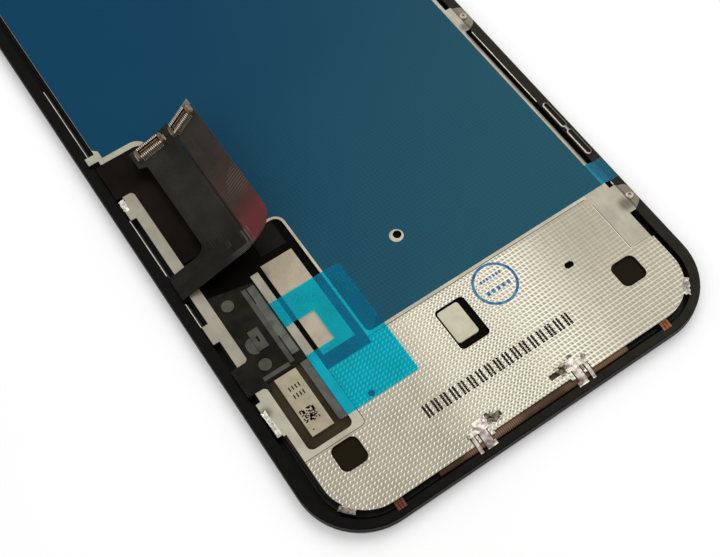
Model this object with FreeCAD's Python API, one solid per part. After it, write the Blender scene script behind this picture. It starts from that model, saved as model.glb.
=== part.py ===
import FreeCAD, Part
import math
import os

# Phone display module lying face down: cover glass below, pressed steel back above.
# Millimetres. X runs across the module, Y from the chin end to the top end, Z out of the back.
# The origin is the centre of the cover glass outline, on the outer face of the glass.
# "From chin" is a distance along Y from the chin edge of the glass, and an inset is
# a distance in from an edge of the glass.

# Cover glass
body_width = 73.0
body_length = 148.2
body_corner = 11.0
glass_thickness = 0.8
glass_edge_bevel = 0.35

# Thickness of each layer of the display, in order from the glass
mask_thickness = 0.03
adhesive_thickness = 0.15
polarizer_thickness = 0.1
cell_glass_thickness = 0.2
sheet_thickness = 0.06
guide_thickness = 0.4
tray_thickness = 0.18
insulation_thickness = 0.06
plate_standoff = 0.24
plate_thickness = 0.2
film_thickness = 0.05

# Outlines of the layers
mask_inset = 0.3
active_inset = 4.2
filter_inset = 3.2
polarizer_inset = 3.6
tft_inset = 2.9
backlight_inset = 3.4
backlight_wall = 0.6
sheet_clearance = 0.05
filter_from_chin = 3.6
tft_from_chin = 1.9
backlight_from_chin = 3.0
tray_skirt = 0.1
tray_skirt_gap = 0.3
insulation_from_chin = 3.3
notch_side_inset = 19.1
notch_depth = 9.0
notch_corner = 1.6

# Light bar at the chin end of the backlight
led_length = 2.2
led_depth = 0.6
led_pitch = 2.9
led_row_gap = 0.1
guide_gap = 0.08
led_flex_overhang = 0.5

# Moulded frame and the steel strips in its grooves
frame_inset = 0.05
frame_side_wall = 2.0
frame_chin_wall = 1.4
frame_height = 1.47
frame_chamfer = 0.2
ledge_height = 0.47
ledge_clearance = 0.2
rail_thickness = 0.14
rail_foot = 0.5
rail_proud = 0.2
left_rail_spans = ((42.4, 47.4), (53.5, 66.0), (81.0, 98.0))
right_rail_spans = ((25.8, 26.5), (46.2, 64.8))

# Pressed steel back
plate_side_inset = 3.23
plate_low_inset = 3.7
plate_low_top = 19.8
plate_from_chin = 2.44
plate_middle_from_chin = 2.86
plate_middle_half_width = 7.2
plate_corner = 6.0
plate_chin_corner = 7.5
plate_top_inset = 3.0
plate_notch_margin = 0.8
step_bottom = 14.6
step_top = 20.0
step_depth = 0.35
flange_thickness = 0.2
flange_start = 9.0
line_width = 0.14
line_depth = 0.07

# Recess of the driver circuit, open through the back beside its left edge
border_width = 1.93
pocket_bottom = 15.5
pocket_width = 7.8
rib_width = 1.41
rib_top = 45.5
well_bottom = 25.0
well_width = 8.16
well_top = 52.5
head_width = 6.1
head_top = 78.2
pocket_corner = 1.0
well_corner = 1.5
head_corner = 2.5

# Pressed lines round the smooth steel
line_margin_bottom = 1.0
line_margin_side = 1.65
line_corner = 0.9
fold_below_film = 0.7
fold_end = 8.0
side_line_inset = 7.6
side_line_bottom = 15.0
side_line_top = 24.6

# Holes through the steel back
square_hole_spacing = 52.7
square_hole_shift = -0.35
square_hole_from_chin = 11.98
square_hole_width = 4.62
square_hole_length = 4.55
square_hole_corner = 1.15
window_x = -0.67
window_from_chin = 19.7
window_width = 5.5
window_length = 7.8
window_corner = 0.8
slot_x = 19.06
slot_from_chin = 18.16
slot_length = 1.6
slot_width = 1.1
vent_x = -18.7
vent_from_chin = 18.04
vent_radius = 0.56
seat_x = 0.0
seat_from_chin = 38.36
seat_radius = 0.73

# Tabs on the left edge of the back: bottom and top from chin, reach past the edge
tab_overlap = 0.6
left_tabs = ((20.1, 26.4, 0.88), (38.6, 42.2, 1.12), (65.7, 69.5, 1.0), (79.2, 80.8, 1.8))

# Screw ears on the right edge of the back: bottom, top and screw centre from chin
ears = ((20.6, 24.9, 22.7), (65.9, 70.6, 68.5))
ear_overlap = 0.5
ear_root = 0.95
ear_ramp = 0.55
ear_end_inset = 0.3
ear_corner = 1.2
ear_splay = 0.6
screw_radius = 0.55
screw_inset = 1.3
screw_depth = 0.9

# Crimped lugs at the two chin corners of the back
lug_angle = 36.0
lug_width = 1.5
lug_overlap = 0.8
lug_flat = 0.15
lug_ramp = 0.5
lug_landing = 0.12

# Spring clip on top of the right wall of the frame, bent into two long loops
side_clip_bottom = 32.7
side_clip_inset = 0.7
loop_width = 1.15
loop_length = 5.9
loop_gap = 0.7
loop_wire = 0.2
loop_corner = 0.36
loop_height = 0.3
loop_bridge = 0.45

# Protective film, pull film, edge tape and bed film
film_bottom = 26.7
film_side_inset = 0.65
film_rim = 0.45
film_corner = 0.8
film_left_inset = 0.05
film_left_start = 81.8
film_step = 0.8
film_head_rim = 1.2
film_top_inset = 1.2
ring_offset_x = -0.22
ring_offset_y = -0.1
ring_radius = 1.2
pull_overlap = 0.1
pull_width = 13.1
pull_bottom = 17.2
pull_top = 39.6
pull_corner = 0.8
pull_cut_width = 5.3
pull_cut_bottom = 28.8
pull_cut_top = 34.75
pull_cut_corner = 0.4
edge_tape_bottom = 26.72
edge_tape_top = 31.2
edge_tape_overlap = 0.7
edge_tape_landing = 0.15
edge_tape_inset = 0.3
bed_bottom = 53.6
bed_tab_bottom = 70.5
bed_tab_reach = 1.15
bed_overlap = 0.4
bed_corner = 0.8
bed_tab_corner = 0.3

# Pieces in the pocket and the well of the recess
shield_from_border = 1.55
shield_width = 3.86
shield_bottom = 17.3
shield_length = 10.9
shield_height = 0.34
label_thickness = 0.04
label_margin = 0.06
gasket_gap = 0.04
gasket_width = 1.38
gasket_corner_share = 0.4
gasket_bottom = 17.2
gasket_length = 11.2
gasket_height = 0.4
pad_gap = 0.9
pad_width = 5.85
pad_bottom = 27.6
pad_top = 46.2
pad_thickness = 0.22
tail_gap = 1.4
tail_width = 4.8
tail_length = 4.7
tail_thickness = 0.12
window_pad_width = 3.9
window_pad_length = 6.05
window_pad_height = 0.3
window_pad_side_gap = 0.33
window_pad_top_gap = 0.4
window_pad_corner = 0.45

# Driver board, its components and its tape: places from the board's lower left corner
board_gap = 0.15
board_bottom = 28.6
board_left_top = 45.9
board_right_top = 44.2
board_thickness = 0.14
coil_places = ((1.99, 14.38), (1.69, 2.57))
coil_radius = 1.04
chip_place = (2.08, 4.95)
chip_size = (1.84, 3.77)
chip_slot_size = (0.36, 1.05)
filter_place = (0.64, 4.7)
filter_size = (1.38, 3.0)
filter_corner = 1.3
foot_bar_place = (0.2, 0.2)
foot_bar_size = (4.65, 0.7)
side_bars = ((5.01, 0.6, 0.79, 14.8), (6.0, 1.6, 1.3, 13.7), (5.7, 5.5, 0.4, 6.6))
tape_overhang = 0.1
tape_tab_bottom = 28.0
tape_tab_top = 33.2
tape_tab_reach = 1.24
tape_tab_corner = 0.8
tape_tongue_width = 0.5
tape_tongue_length = 0.9
emboss_height = 0.1

# Main flexible circuit: it rises out of the left groove and curls up towards the right
flex_thickness = 0.15
flex_bottom = 47.9
flex_band = 4.6
flex_wall_gap = 0.03
flex_foot = 0.3
flex_start_height = 0.15
flex_root_radius = 0.3
flex_bend_inset = 14.7
flex_bend_height = 3.7
flex_bend_radius = 2.0
flex_end_inset = 20.1
flex_end_height = 8.6
arm_left_inset = 9.25
arm_slit_inset = 15.7
slit_width = 0.12
slit_length = 8.6
flex_top = 76.0
right_arm_shortfall = 0.7
flare_reach = 1.35
flare_length = 4.2
flex_inner_corner = 1.8
flex_outer_corner = 3.0
stiffener_thickness = 0.2
stiffener_length = 5.5
stiffener_width = 3.0

# Board connectors on the two arms
connector_length = 5.4
connector_width = 1.9
connector_height = 0.8
connector_wall = 0.36
connector_end = 0.6
connector_floor = 0.25
ridge_width = 0.36
ridge_height = 0.42
ridge_gap = 0.2
contact_count = 13
contact_pitch = 0.33
contact_width = 0.16
contact_thickness = 0.07
contact_foot = 0.42
clamp_width = 1.3
clamp_foot = 0.3
left_connector_inset = 11.45
left_connector_from_end = 1.7
right_connector_inset = 17.8
right_connector_from_end = 1.9

# Chin end: folded driver film with its chip, spring clips and ground pads
driver_film_half_width = 17.5
driver_film_edge = 1.68
driver_film_foot = 2.8
driver_film_reach = 9.0
driver_film_bend_share = 0.49
driver_chip_length = 22.0
driver_chip_width = 1.3
driver_chip_height = 0.14
driver_chip_from_chin = 6.4
clip_thickness = 0.15
clip_tip = 1.05
clip_foot = 1.3
clip_knee = 2.2
clip_base_bottom = 3.75
clip_base_top = 5.6
clip_base_inner = 7.35
clip_base_corner = 0.2
clip_base_width = 2.1
clip_wide_inner = 8.05
clip_wide_width = 1.35
clip_foot_extra = 0.4
clip_foot_end = 1.8
clip_thin_inner = 10.2
clip_thin_width = 0.58
clip_head_width = 1.15
clip_head_length = 0.75
clip_head_overlap = 0.3
clip_slot_margin = 0.18
lance_gap = 0.35
lance_length = 2.4
lance_width = 0.85
lance_from_chin = 4.6
lance_lip_width = 0.25
lance_lip_height = 0.12
lance_lip_share = 0.7
ground_pad_inset = 11.75
ground_pad_width = 1.5
ground_pad_tip = 1.0
ground_pad_foot = 1.4
ground_pad_knee = 2.3
ground_pad_end = 3.6
ground_pad_thickness = 0.12
ground_pad_slit = 0.12

# Earpiece and sensor openings at the top end
earpiece_length = 11.0
earpiece_width = 1.4
earpiece_from_top = 3.0
camera_x = -9.0
camera_radius = 1.9
sensor_from_top = 6.2
sensor_spacing = 4.5
sensor_radius = 0.9

# Levels along Z, from the face of the glass to the top of the steel back
glass_top = glass_thickness
mask_top = glass_top + mask_thickness
adhesive_top = mask_top + adhesive_thickness
front_polarizer_top = adhesive_top + polarizer_thickness
filter_top = front_polarizer_top + cell_glass_thickness
tft_top = filter_top + cell_glass_thickness
rear_polarizer_top = tft_top + polarizer_thickness
upper_prism_top = rear_polarizer_top + sheet_thickness
lower_prism_top = upper_prism_top + sheet_thickness
diffuser_top = lower_prism_top + sheet_thickness
guide_top = diffuser_top + guide_thickness
reflector_top = guide_top + sheet_thickness
tray_top = reflector_top + tray_thickness
insulation_top = tray_top + insulation_thickness
plate_bottom = insulation_top + plate_standoff
plate_top = plate_bottom + plate_thickness
film_top = plate_top + film_thickness
frame_top = mask_top + frame_height
ledge_top = mask_top + ledge_height
rail_top = frame_top + rail_proud

# Edges along X that several pieces share
half_width = body_width / 2
notch_half_width = half_width - notch_side_inset
plate_left = plate_side_inset - half_width
plate_right = half_width - plate_side_inset
pocket_left = plate_left + border_width
pocket_right = pocket_left + pocket_width
rib_right = pocket_right + rib_width
well_right = rib_right + well_width
head_right = pocket_left + head_width

# A cutter that has to pass right through runs this far past both faces
through = 1.0

# Share of a slot's width by which its ends are cut off at 45 degrees
end_cut = 0.3

# Flat sides of the smallest round holes
small_disc_sides = 16


def left(inset):
    """X of a place beside the left edge of the glass."""
    return inset - half_width


def right(inset):
    """X of a place beside the right edge of the glass."""
    return half_width - inset


def chin(distance):
    """Y of a place at a distance from the chin edge of the glass."""
    return distance - body_length / 2


def top(inset):
    """Y of a place at a distance from the top edge of the glass."""
    return body_length / 2 - inset


def rounded_wire(corners):
    """Closed wire through corners given as (x, y, radius), each rounded by its own arc."""
    entries = []
    middles = []
    exits = []
    count = len(corners)
    for index, (x, y, radius) in enumerate(corners):
        here = FreeCAD.Vector(x, y, 0)
        before = FreeCAD.Vector(*corners[index - 1][:2], 0) - here
        after = FreeCAD.Vector(*corners[(index + 1) % count][:2], 0) - here
        before.normalize()
        after.normalize()
        if radius <= 0:
            entries.append(here)
            middles.append(None)
            exits.append(here)
            continue
        half_angle = before.getAngle(after) / 2
        reach = radius / math.tan(half_angle)
        bisector = (before + after).normalize()
        centre = here + bisector * (radius / math.sin(half_angle))
        entries.append(here + before * reach)
        middles.append(centre - bisector * radius)
        exits.append(here + after * reach)
    edges = []
    for index in range(count):
        following = (index + 1) % count
        if middles[index] is not None:
            edges.append(Part.Arc(entries[index], middles[index], exits[index]).toShape())
        if exits[index].distanceToPoint(entries[following]) > 1e-6:
            edges.append(Part.LineSegment(exits[index], entries[following]).toShape())
    return Part.Wire(edges)


def slab(corners, bottom, upper):
    """Flat plate of a rounded outline between two levels."""
    face = Part.Face(rounded_wire(corners))
    solid = face.extrude(FreeCAD.Vector(0, 0, upper - bottom))
    solid.translate(FreeCAD.Vector(0, 0, bottom))
    return solid


def rectangle(x_low, x_high, y_low, y_high, radius=0):
    """Corners of a rectangle with all four corners rounded alike."""
    return [
        (x_low, y_low, radius),
        (x_high, y_low, radius),
        (x_high, y_high, radius),
        (x_low, y_high, radius),
    ]


def bevelled(corners, cut):
    """Corners of a plain rectangle with its four corners cut off at 45 degrees."""
    (x_low, y_low, _), _, (x_high, y_high, _), _ = corners
    return [
        (x_low + cut, y_low, 0),
        (x_high - cut, y_low, 0),
        (x_high, y_low + cut, 0),
        (x_high, y_high - cut, 0),
        (x_high - cut, y_high, 0),
        (x_low + cut, y_high, 0),
        (x_low, y_high - cut, 0),
        (x_low, y_low + cut, 0),
    ]


def centred(x, y, width, length, radius=0):
    """Corners of a rounded rectangle about its centre."""
    return rectangle(x - width / 2, x + width / 2, y - length / 2, y + length / 2, radius)


def block(x_low, x_high, y_low, y_high, bottom, upper):
    """Plain rectangular solid."""
    return slab(rectangle(x_low, x_high, y_low, y_high), bottom, upper)


def disc(x, y, radius, bottom, upper):
    """Upright cylinder between two levels."""
    return Part.makeCylinder(radius, upper - bottom, FreeCAD.Vector(x, y, bottom))


def small_disc(x, y, radius, bottom, upper):
    """Disc cutter with a few flat sides, for holes too small for the sides to show."""
    corners = []
    for index in range(small_disc_sides):
        turn = 2 * math.pi * index / small_disc_sides
        corners.append((x + radius * math.cos(turn), y + radius * math.sin(turn), 0))
    return slab(corners, bottom, upper)


def joined(shapes):
    """One solid from solids that overlap or touch."""
    result = shapes[0].multiFuse(shapes[1:])
    return result.removeSplitter()


def without(shape, cutters):
    """A solid with several others cut away."""
    return shape.cut(Part.makeCompound(cutters))


def thick_path(path, thickness):
    """Outline of a bent sheet: a path of (u, v, radius), thickened on its left side."""
    offset = []
    for index, (u, v, radius) in enumerate(path):
        here = FreeCAD.Vector(u, v, 0)
        ways = []
        if index > 0:
            ways.append((here - FreeCAD.Vector(*path[index - 1][:2], 0)).normalize())
        if index < len(path) - 1:
            ways.append((FreeCAD.Vector(*path[index + 1][:2], 0) - here).normalize())
        normals = [FreeCAD.Vector(-way.y, way.x, 0) for way in ways]
        bisector = (normals[0] + normals[-1]).normalize()
        place = here + bisector * (thickness / bisector.dot(normals[0]))
        turns_left = len(ways) > 1 and ways[0].cross(ways[1]).z > 0
        outer_radius = radius - thickness if turns_left else radius + thickness
        offset.append((place.x, place.y, outer_radius if radius > 0 else 0))
    return list(path) + offset[::-1]


def along_y(corners, y_low, y_high):
    """Section drawn in XZ, drawn out along Y."""
    solid = slab(corners, 0, y_high - y_low)
    solid.rotate(FreeCAD.Vector(0, 0, 0), FreeCAD.Vector(1, 0, 0), 90)
    solid.translate(FreeCAD.Vector(0, y_high, 0))
    return solid


def along_x(corners, x_low, x_high):
    """Section drawn in YZ, drawn out along X."""
    solid = slab(corners, 0, x_high - x_low)
    solid.rotate(FreeCAD.Vector(0, 0, 0), FreeCAD.Vector(1, 1, 1), 120)
    solid.translate(FreeCAD.Vector(x_low, 0, 0))
    return solid


def body_outline(inset):
    """Outline of the glass drawn in by an inset."""
    radius = body_corner - inset
    return rectangle(left(inset), right(inset), chin(inset), top(inset), radius)


def panel_outline(inset, from_chin, corner=0):
    """Outline of a display layer, with the sensor notch at its top end."""
    radius = body_corner - inset
    notch_x = notch_half_width + inset - filter_inset
    notch_bottom = top(notch_depth + inset - filter_inset)
    return [
        (left(inset), chin(from_chin), radius),
        (right(inset), chin(from_chin), radius),
        (right(inset), top(inset), radius),
        (notch_x, top(inset), corner),
        (notch_x, notch_bottom, corner),
        (-notch_x, notch_bottom, corner),
        (-notch_x, top(inset), corner),
        (left(inset), top(inset), radius),
    ]


def sheet_outline(extra_from_chin=0):
    """Outline of the layers that lie inside the backlight frame."""
    gap = backlight_wall + sheet_clearance
    return panel_outline(backlight_inset + gap, backlight_from_chin + gap + extra_from_chin)


def top_end_cutters(bottom, upper):
    """Earpiece slot, camera opening and two sensor openings."""
    slot = bevelled(
        centred(0, top(earpiece_from_top), earpiece_length, earpiece_width), earpiece_width * end_cut
    )
    cutters = [slab(slot, bottom, upper)]
    y = top(sensor_from_top)
    cutters.append(disc(camera_x, y, camera_radius, bottom, upper))
    for step in (1, 2):
        cutters.append(disc(sensor_spacing * step, y, sensor_radius, bottom, upper))
    return cutters


def cover_glass():
    """Cover glass with a bevelled front edge and the earpiece slot."""
    glass = slab(body_outline(0), 0, glass_top)
    front_edges = [edge for edge in glass.Edges if edge.BoundBox.ZMax < glass_top / 2]
    glass = glass.makeChamfer(glass_edge_bevel, front_edges)
    return glass.cut(top_end_cutters(-through, glass_top + through)[0])


def border_mask():
    """Opaque border printed round the active area, open at the sensors."""
    ring = slab(body_outline(mask_inset), glass_top, mask_top)
    low, high = glass_top - through, mask_top + through
    opening = slab(panel_outline(active_inset, active_inset, notch_corner), low, high)
    return without(ring, [opening] + top_end_cutters(low, high))


def leds():
    """Row of separate light emitting diodes along the straight part of the chin end."""
    count = int((body_width - 2 * body_corner) / led_pitch)
    row_bottom = chin(backlight_from_chin + backlight_wall + sheet_clearance + led_row_gap)
    row = []
    for index in range(count):
        x = (index - (count - 1) / 2) * led_pitch
        outline = centred(x, row_bottom + led_depth / 2, led_length, led_depth)
        row.append(slab(outline, diffuser_top, guide_top))
    return Part.makeCompound(row)


def led_flex():
    """Strip circuit that carries the diodes, over their backs."""
    half_length = body_width / 2 - body_corner
    bottom = chin(backlight_from_chin + backlight_wall + sheet_clearance)
    upper = bottom + led_row_gap + led_depth + led_flex_overhang
    return block(-half_length, half_length, bottom, upper, guide_top, reflector_top)


def light_guide():
    """Light guide, clear of the row of diodes."""
    return slab(sheet_outline(led_row_gap + led_depth + guide_gap), diffuser_top, guide_top)


def reflector_sheet():
    """Reflector behind the light guide, clear of the strip circuit."""
    row_end = led_row_gap + led_depth + led_flex_overhang + guide_gap
    return slab(sheet_outline(row_end), guide_top, reflector_top)


def backlight_frame():
    """Moulded ring that holds the films, the light guide and the light bar."""
    outer = slab(panel_outline(backlight_inset, backlight_from_chin), tft_top, reflector_top)
    inner = panel_outline(backlight_inset + backlight_wall, backlight_from_chin + backlight_wall)
    return outer.cut(slab(inner, tft_top - through, reflector_top + through))


def backlight_tray():
    """Thin steel tray over the backlight, with a skirt down its outside."""
    outer = panel_outline(backlight_inset - tray_skirt, backlight_from_chin - tray_skirt)
    inner = panel_outline(backlight_inset, backlight_from_chin)
    skirt_bottom = tft_top + tray_skirt_gap
    tray = slab(outer, skirt_bottom, tray_top)
    return tray.cut(slab(inner, skirt_bottom - through, reflector_top))


def insulation_film():
    """Black insulating film on the tray, the floor seen in the recess."""
    return slab(panel_outline(backlight_inset, insulation_from_chin), tray_top, insulation_top)


def display_frame():
    """Black moulded frame bonded to the glass: an outer wall with a low ledge inside."""
    frame = slab(body_outline(frame_inset), mask_top, frame_top)
    top_edges = [edge for edge in frame.Edges if edge.BoundBox.ZMin > frame_top - through / 2]
    frame = frame.makeChamfer(frame_chamfer, top_edges)
    opening = rectangle(
        left(frame_side_wall),
        right(frame_side_wall),
        chin(frame_chin_wall),
        top(frame_side_wall),
        body_corner - frame_side_wall,
    )
    ledge_hole = panel_outline(tft_inset - ledge_clearance, tft_from_chin - ledge_clearance)
    low, high = mask_top - through, frame_top + through
    cutters = [slab(opening, ledge_top, high), slab(ledge_hole, low, high)]
    cutters += top_end_cutters(low, high)
    for _, _, screw in ears:
        x, y = right(screw_inset), chin(screw)
        cutters.append(small_disc(x, y, screw_radius, frame_top - screw_depth, high))
    return without(frame, cutters)


def standing_rail(side, bottom, upper):
    """Angle strip against the inner wall of the frame, with its foot on the ledge."""
    wall = side * right(frame_side_wall)
    web_face = wall - side * rail_thickness
    toe = wall - side * rail_foot
    low, high = chin(bottom), chin(upper)
    web = block(min(wall, web_face), max(wall, web_face), low, high, ledge_top, rail_top)
    foot_top = ledge_top + rail_thickness
    foot = block(min(wall, toe), max(wall, toe), low, high, ledge_top, foot_top)
    return joined([web, foot])


def left_rail():
    """Left angle strip, in lengths with a gap where the circuit passes."""
    return Part.makeCompound([standing_rail(-1, low, high) for low, high in left_rail_spans])


def right_rail():
    """Right angle strip, in lengths between the screw ears."""
    return Part.makeCompound([standing_rail(1, low, high) for low, high in right_rail_spans])


def side_clip():
    """Spring clip on top of the right wall of the frame: two long loops and their bridge."""
    outer = right(side_clip_inset)
    inner = outer - loop_width
    upper = frame_top + loop_height
    pieces = []
    for index in range(2):
        low = chin(side_clip_bottom) + index * (loop_length + loop_gap)
        high = low + loop_length
        outline = bevelled(rectangle(inner, outer, low, high), loop_corner)
        loop = slab(outline, frame_top, upper)
        hole = rectangle(
            inner + loop_wire,
            outer - loop_wire,
            low + loop_wire,
            high - loop_wire,
        )
        hole = bevelled(hole, loop_corner * (loop_width - 2 * loop_wire) / loop_width)
        pieces.append(loop.cut(slab(hole, frame_top - through, upper + through)))
    start = chin(side_clip_bottom) + loop_length - loop_wire
    middle = (inner + outer) / 2
    outline = rectangle(
        middle - loop_bridge / 2,
        middle + loop_bridge / 2,
        start,
        start + loop_gap + 2 * loop_wire,
    )
    pieces.append(slab(outline, frame_top, upper))
    return joined(pieces)


def plate_outline(draw=0):
    """Outline of the steel back, or the same drawn in for its turned edge."""
    low_left = left(plate_low_inset) + draw
    notch_x = notch_half_width + plate_notch_margin + draw
    notch_bottom = top(notch_depth + plate_notch_margin) - draw
    middle = plate_middle_half_width + draw
    low = chin(plate_from_chin) + draw
    high = top(plate_top_inset) - draw
    return [
        (low_left, low, plate_chin_corner - draw),
        (-middle, low, 0),
        (-middle, chin(plate_middle_from_chin) + draw, 0),
        (middle, chin(plate_middle_from_chin) + draw, 0),
        (middle, low, 0),
        (plate_right - draw, low, plate_chin_corner - draw),
        (plate_right - draw, high, plate_corner - draw),
        (notch_x, high, notch_corner),
        (notch_x, notch_bottom, notch_corner),
        (-notch_x, notch_bottom, notch_corner),
        (-notch_x, high, notch_corner),
        (plate_left + draw, high, plate_corner - draw),
        (plate_left + draw, chin(plate_low_top) + draw, 0),
        (low_left, chin(plate_low_top) + draw, 0),
    ]


def recess_outline(grow=0):
    """Outline of the recess, or the same grown outward for its turned edge."""
    return [
        (pocket_left - grow, chin(pocket_bottom) - grow, pocket_corner + grow),
        (pocket_right + grow, chin(pocket_bottom) - grow, pocket_corner + grow),
        (pocket_right + grow, chin(rib_top) - grow, 0),
        (rib_right - grow, chin(rib_top) - grow, 0),
        (rib_right - grow, chin(well_bottom) - grow, 0),
        (well_right + grow, chin(well_bottom) - grow, 0),
        (well_right + grow, chin(well_top) + grow, well_corner + grow),
        (head_right + grow, chin(well_top) + grow, 0),
        (head_right + grow, chin(head_top) + grow, head_corner + grow),
        (pocket_left - grow, chin(head_top) + grow, 0),
    ]


def pressed_lines():
    """Shallow pressed lines that part the smooth steel from the patterned steel."""
    low = plate_top - line_depth
    high = plate_top + through
    start = left(plate_low_inset) - through
    side = pocket_right + line_margin_side
    bottom = chin(pocket_bottom - line_margin_bottom)
    upper = chin(well_bottom)
    outer = [(start, bottom, 0), (side, bottom, line_corner), (side, upper, 0), (start, upper, 0)]
    inner = [
        (start - through, bottom + line_width, 0),
        (side - line_width, bottom + line_width, line_corner - line_width),
        (side - line_width, upper + through, 0),
        (start - through, upper + through, 0),
    ]
    corner_line = slab(outer, low, high).cut(slab(inner, low - through, high + through))
    fold = chin(film_bottom - fold_below_film)
    fold_line = block(well_right, right(fold_end), fold, fold + line_width, low, high)
    side_x = right(side_line_inset)
    side_low, side_high = chin(side_line_bottom), chin(side_line_top)
    side_line = block(side_x, side_x + line_width, side_low, side_high, low, high)
    return [corner_line, fold_line, side_line]


def screw_ear(bottom, upper, screw):
    """Lug that steps down from the steel back onto the frame, with its screw hole."""
    root = plate_right - ear_overlap
    bend = plate_right + ear_root
    end = right(ear_end_inset)
    path = [
        (root, plate_bottom, 0),
        (bend, plate_bottom, 0),
        (bend + ear_ramp, frame_top, 0),
        (end, frame_top, 0),
    ]
    low = chin(bottom) - ear_splay
    high = chin(upper) + ear_splay
    sheet = along_y(thick_path(path, plate_thickness), low, high)
    outline = [
        (root, low, 0),
        (bend, low, 0),
        (end, low + 2 * ear_splay, ear_corner),
        (end, high - ear_splay, ear_corner),
        (bend, high, 0),
        (root, high, 0),
    ]
    lug = sheet.common(slab(outline, 0, plate_top + through))
    hole = small_disc(right(screw_inset), chin(screw), screw_radius, 0, plate_top + through)
    return lug.cut(hole)


def corner_lug(side):
    """Crimped lug that bends down into the gap at a chin corner of the steel back."""
    inset = plate_low_inset if side < 0 else plate_side_inset
    start = plate_chin_corner - lug_overlap
    bend = plate_chin_corner + lug_flat
    landing = bend + lug_ramp
    path = [
        (start, plate_bottom, 0),
        (bend, plate_bottom, 0),
        (landing, frame_top, 0),
        (landing + lug_landing, frame_top, 0),
    ]
    lug = along_y(thick_path(path, plate_thickness), -lug_width / 2, lug_width / 2)
    angle = -lug_angle if side > 0 else 180 + lug_angle
    lug.rotate(FreeCAD.Vector(0, 0, 0), FreeCAD.Vector(0, 0, 1), angle)
    centre_x = side * (half_width - inset - plate_chin_corner)
    lug.translate(FreeCAD.Vector(centre_x, chin(plate_from_chin) + plate_chin_corner, 0))
    return lug


def lance_x(side):
    """Centre along X of the slot lanced beside a chin clip."""
    return side * (clip_base_inner - lance_gap - lance_length / 2)


def lance_lip(side):
    """Lifted lip on the far edge of a lanced slot."""
    y = chin(lance_from_chin) + lance_width / 2 + lance_lip_width / 2
    outline = centred(lance_x(side), y, lance_length * lance_lip_share, lance_lip_width)
    return slab(outline, plate_bottom, plate_top + lance_lip_height)


def finger_slots(side, low, high):
    """Notches in the chin edge of the steel back, under the two fingers of a clip."""
    slots = []
    for inner, width in ((clip_wide_inner, clip_wide_width), (clip_thin_inner, clip_thin_width)):
        near = side * (inner - clip_slot_margin)
        far = side * (inner + width + clip_slot_margin)
        slots.append(
            block(min(near, far), max(near, far), chin(0), chin(clip_base_bottom), low, high)
        )
    return slots


def plate_holes():
    """All through holes and notches of the steel back."""
    low = insulation_top - through
    high = plate_top + through
    cutters = []
    for side in (-1, 1):
        slot = centred(lance_x(side), chin(lance_from_chin), lance_length, lance_width)
        cutters.append(slab(slot, low, high))
        cutters += finger_slots(side, low, high)
        square = centred(
            square_hole_shift + side * square_hole_spacing / 2,
            chin(square_hole_from_chin),
            square_hole_width,
            square_hole_length,
            square_hole_corner,
        )
        cutters.append(slab(square, low, high))
    window = centred(window_x, chin(window_from_chin), window_width, window_length, window_corner)
    cutters.append(slab(window, low, high))
    slot = centred(slot_x, chin(slot_from_chin), slot_length, slot_width)
    slot = bevelled(slot, slot_width * end_cut)
    cutters.append(slab(slot, low, high))
    cutters.append(small_disc(vent_x, chin(vent_from_chin), vent_radius, low, high))
    cutters.append(small_disc(seat_x, chin(seat_from_chin), seat_radius, low, high))
    return cutters


def plate_flange():
    """Turned down edge that stands the steel back on the insulating film."""
    outer = slab(plate_outline(), insulation_top, plate_bottom)
    low, high = insulation_top - through, plate_bottom + through
    inner = slab(plate_outline(flange_thickness), low, high)
    chin_end = block(left(0), right(0), chin(0), chin(flange_start), low, high)
    return without(outer, [inner, chin_end])


def back_plate():
    """Pressed steel back: turned edge, recess, tabs, screw ears, lugs and holes."""
    pieces = [slab(plate_outline(), plate_bottom, plate_top), plate_flange()]
    pieces.append(slab(recess_outline(flange_thickness), insulation_top, plate_bottom))
    for bottom, upper, reach in left_tabs:
        tab = rectangle(plate_left - reach, plate_left + tab_overlap, chin(bottom), chin(upper))
        pieces.append(slab(tab, plate_bottom, plate_top))
    for ear in ears:
        pieces.append(screw_ear(*ear))
    for side in (-1, 1):
        pieces.append(corner_lug(side))
        pieces.append(lance_lip(side))
    recess = slab(recess_outline(), insulation_top - through, plate_top + through)
    step = block(
        plate_right - step_depth,
        right(0),
        chin(step_bottom),
        chin(step_top),
        insulation_top - through,
        plate_top + through,
    )
    return without(joined(pieces), [recess, step] + plate_holes() + pressed_lines())


def film_outline():
    """Outline of the protective film: it leaves a bright rim round the recess."""
    side = plate_right - film_side_inset
    high = top(plate_top_inset + film_top_inset)
    notch_x = notch_half_width + plate_notch_margin + film_top_inset
    notch_bottom = top(notch_depth + plate_notch_margin + film_top_inset)
    corner = plate_corner - film_top_inset
    film_left = plate_left + film_left_inset
    head_rim = chin(head_top) + film_head_rim
    return [
        (well_right + film_rim, chin(film_bottom), film_corner),
        (side, chin(film_bottom), 0),
        (side, high, corner),
        (notch_x, high, notch_corner),
        (notch_x, notch_bottom, notch_corner),
        (-notch_x, notch_bottom, notch_corner),
        (-notch_x, high, notch_corner),
        (film_left, high, corner),
        (film_left, chin(film_left_start), 0),
        (film_left + film_step, chin(film_left_start) - film_step, 0),
        (film_left + film_step, head_rim, 0),
        (head_right + film_rim, head_rim, head_corner),
        (head_right + film_rim, chin(well_top) + film_rim, 0),
        (well_right + film_rim, chin(well_top) + film_rim, well_corner + film_rim),
    ]


def blue_film():
    """Translucent protective film on the upper part of the back, with one round window."""
    film = slab(film_outline(), plate_top, film_top)
    x = seat_x + ring_offset_x
    y = chin(seat_from_chin) + ring_offset_y
    return film.cut(disc(x, y, ring_radius, plate_top - through, film_top + through))


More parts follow.
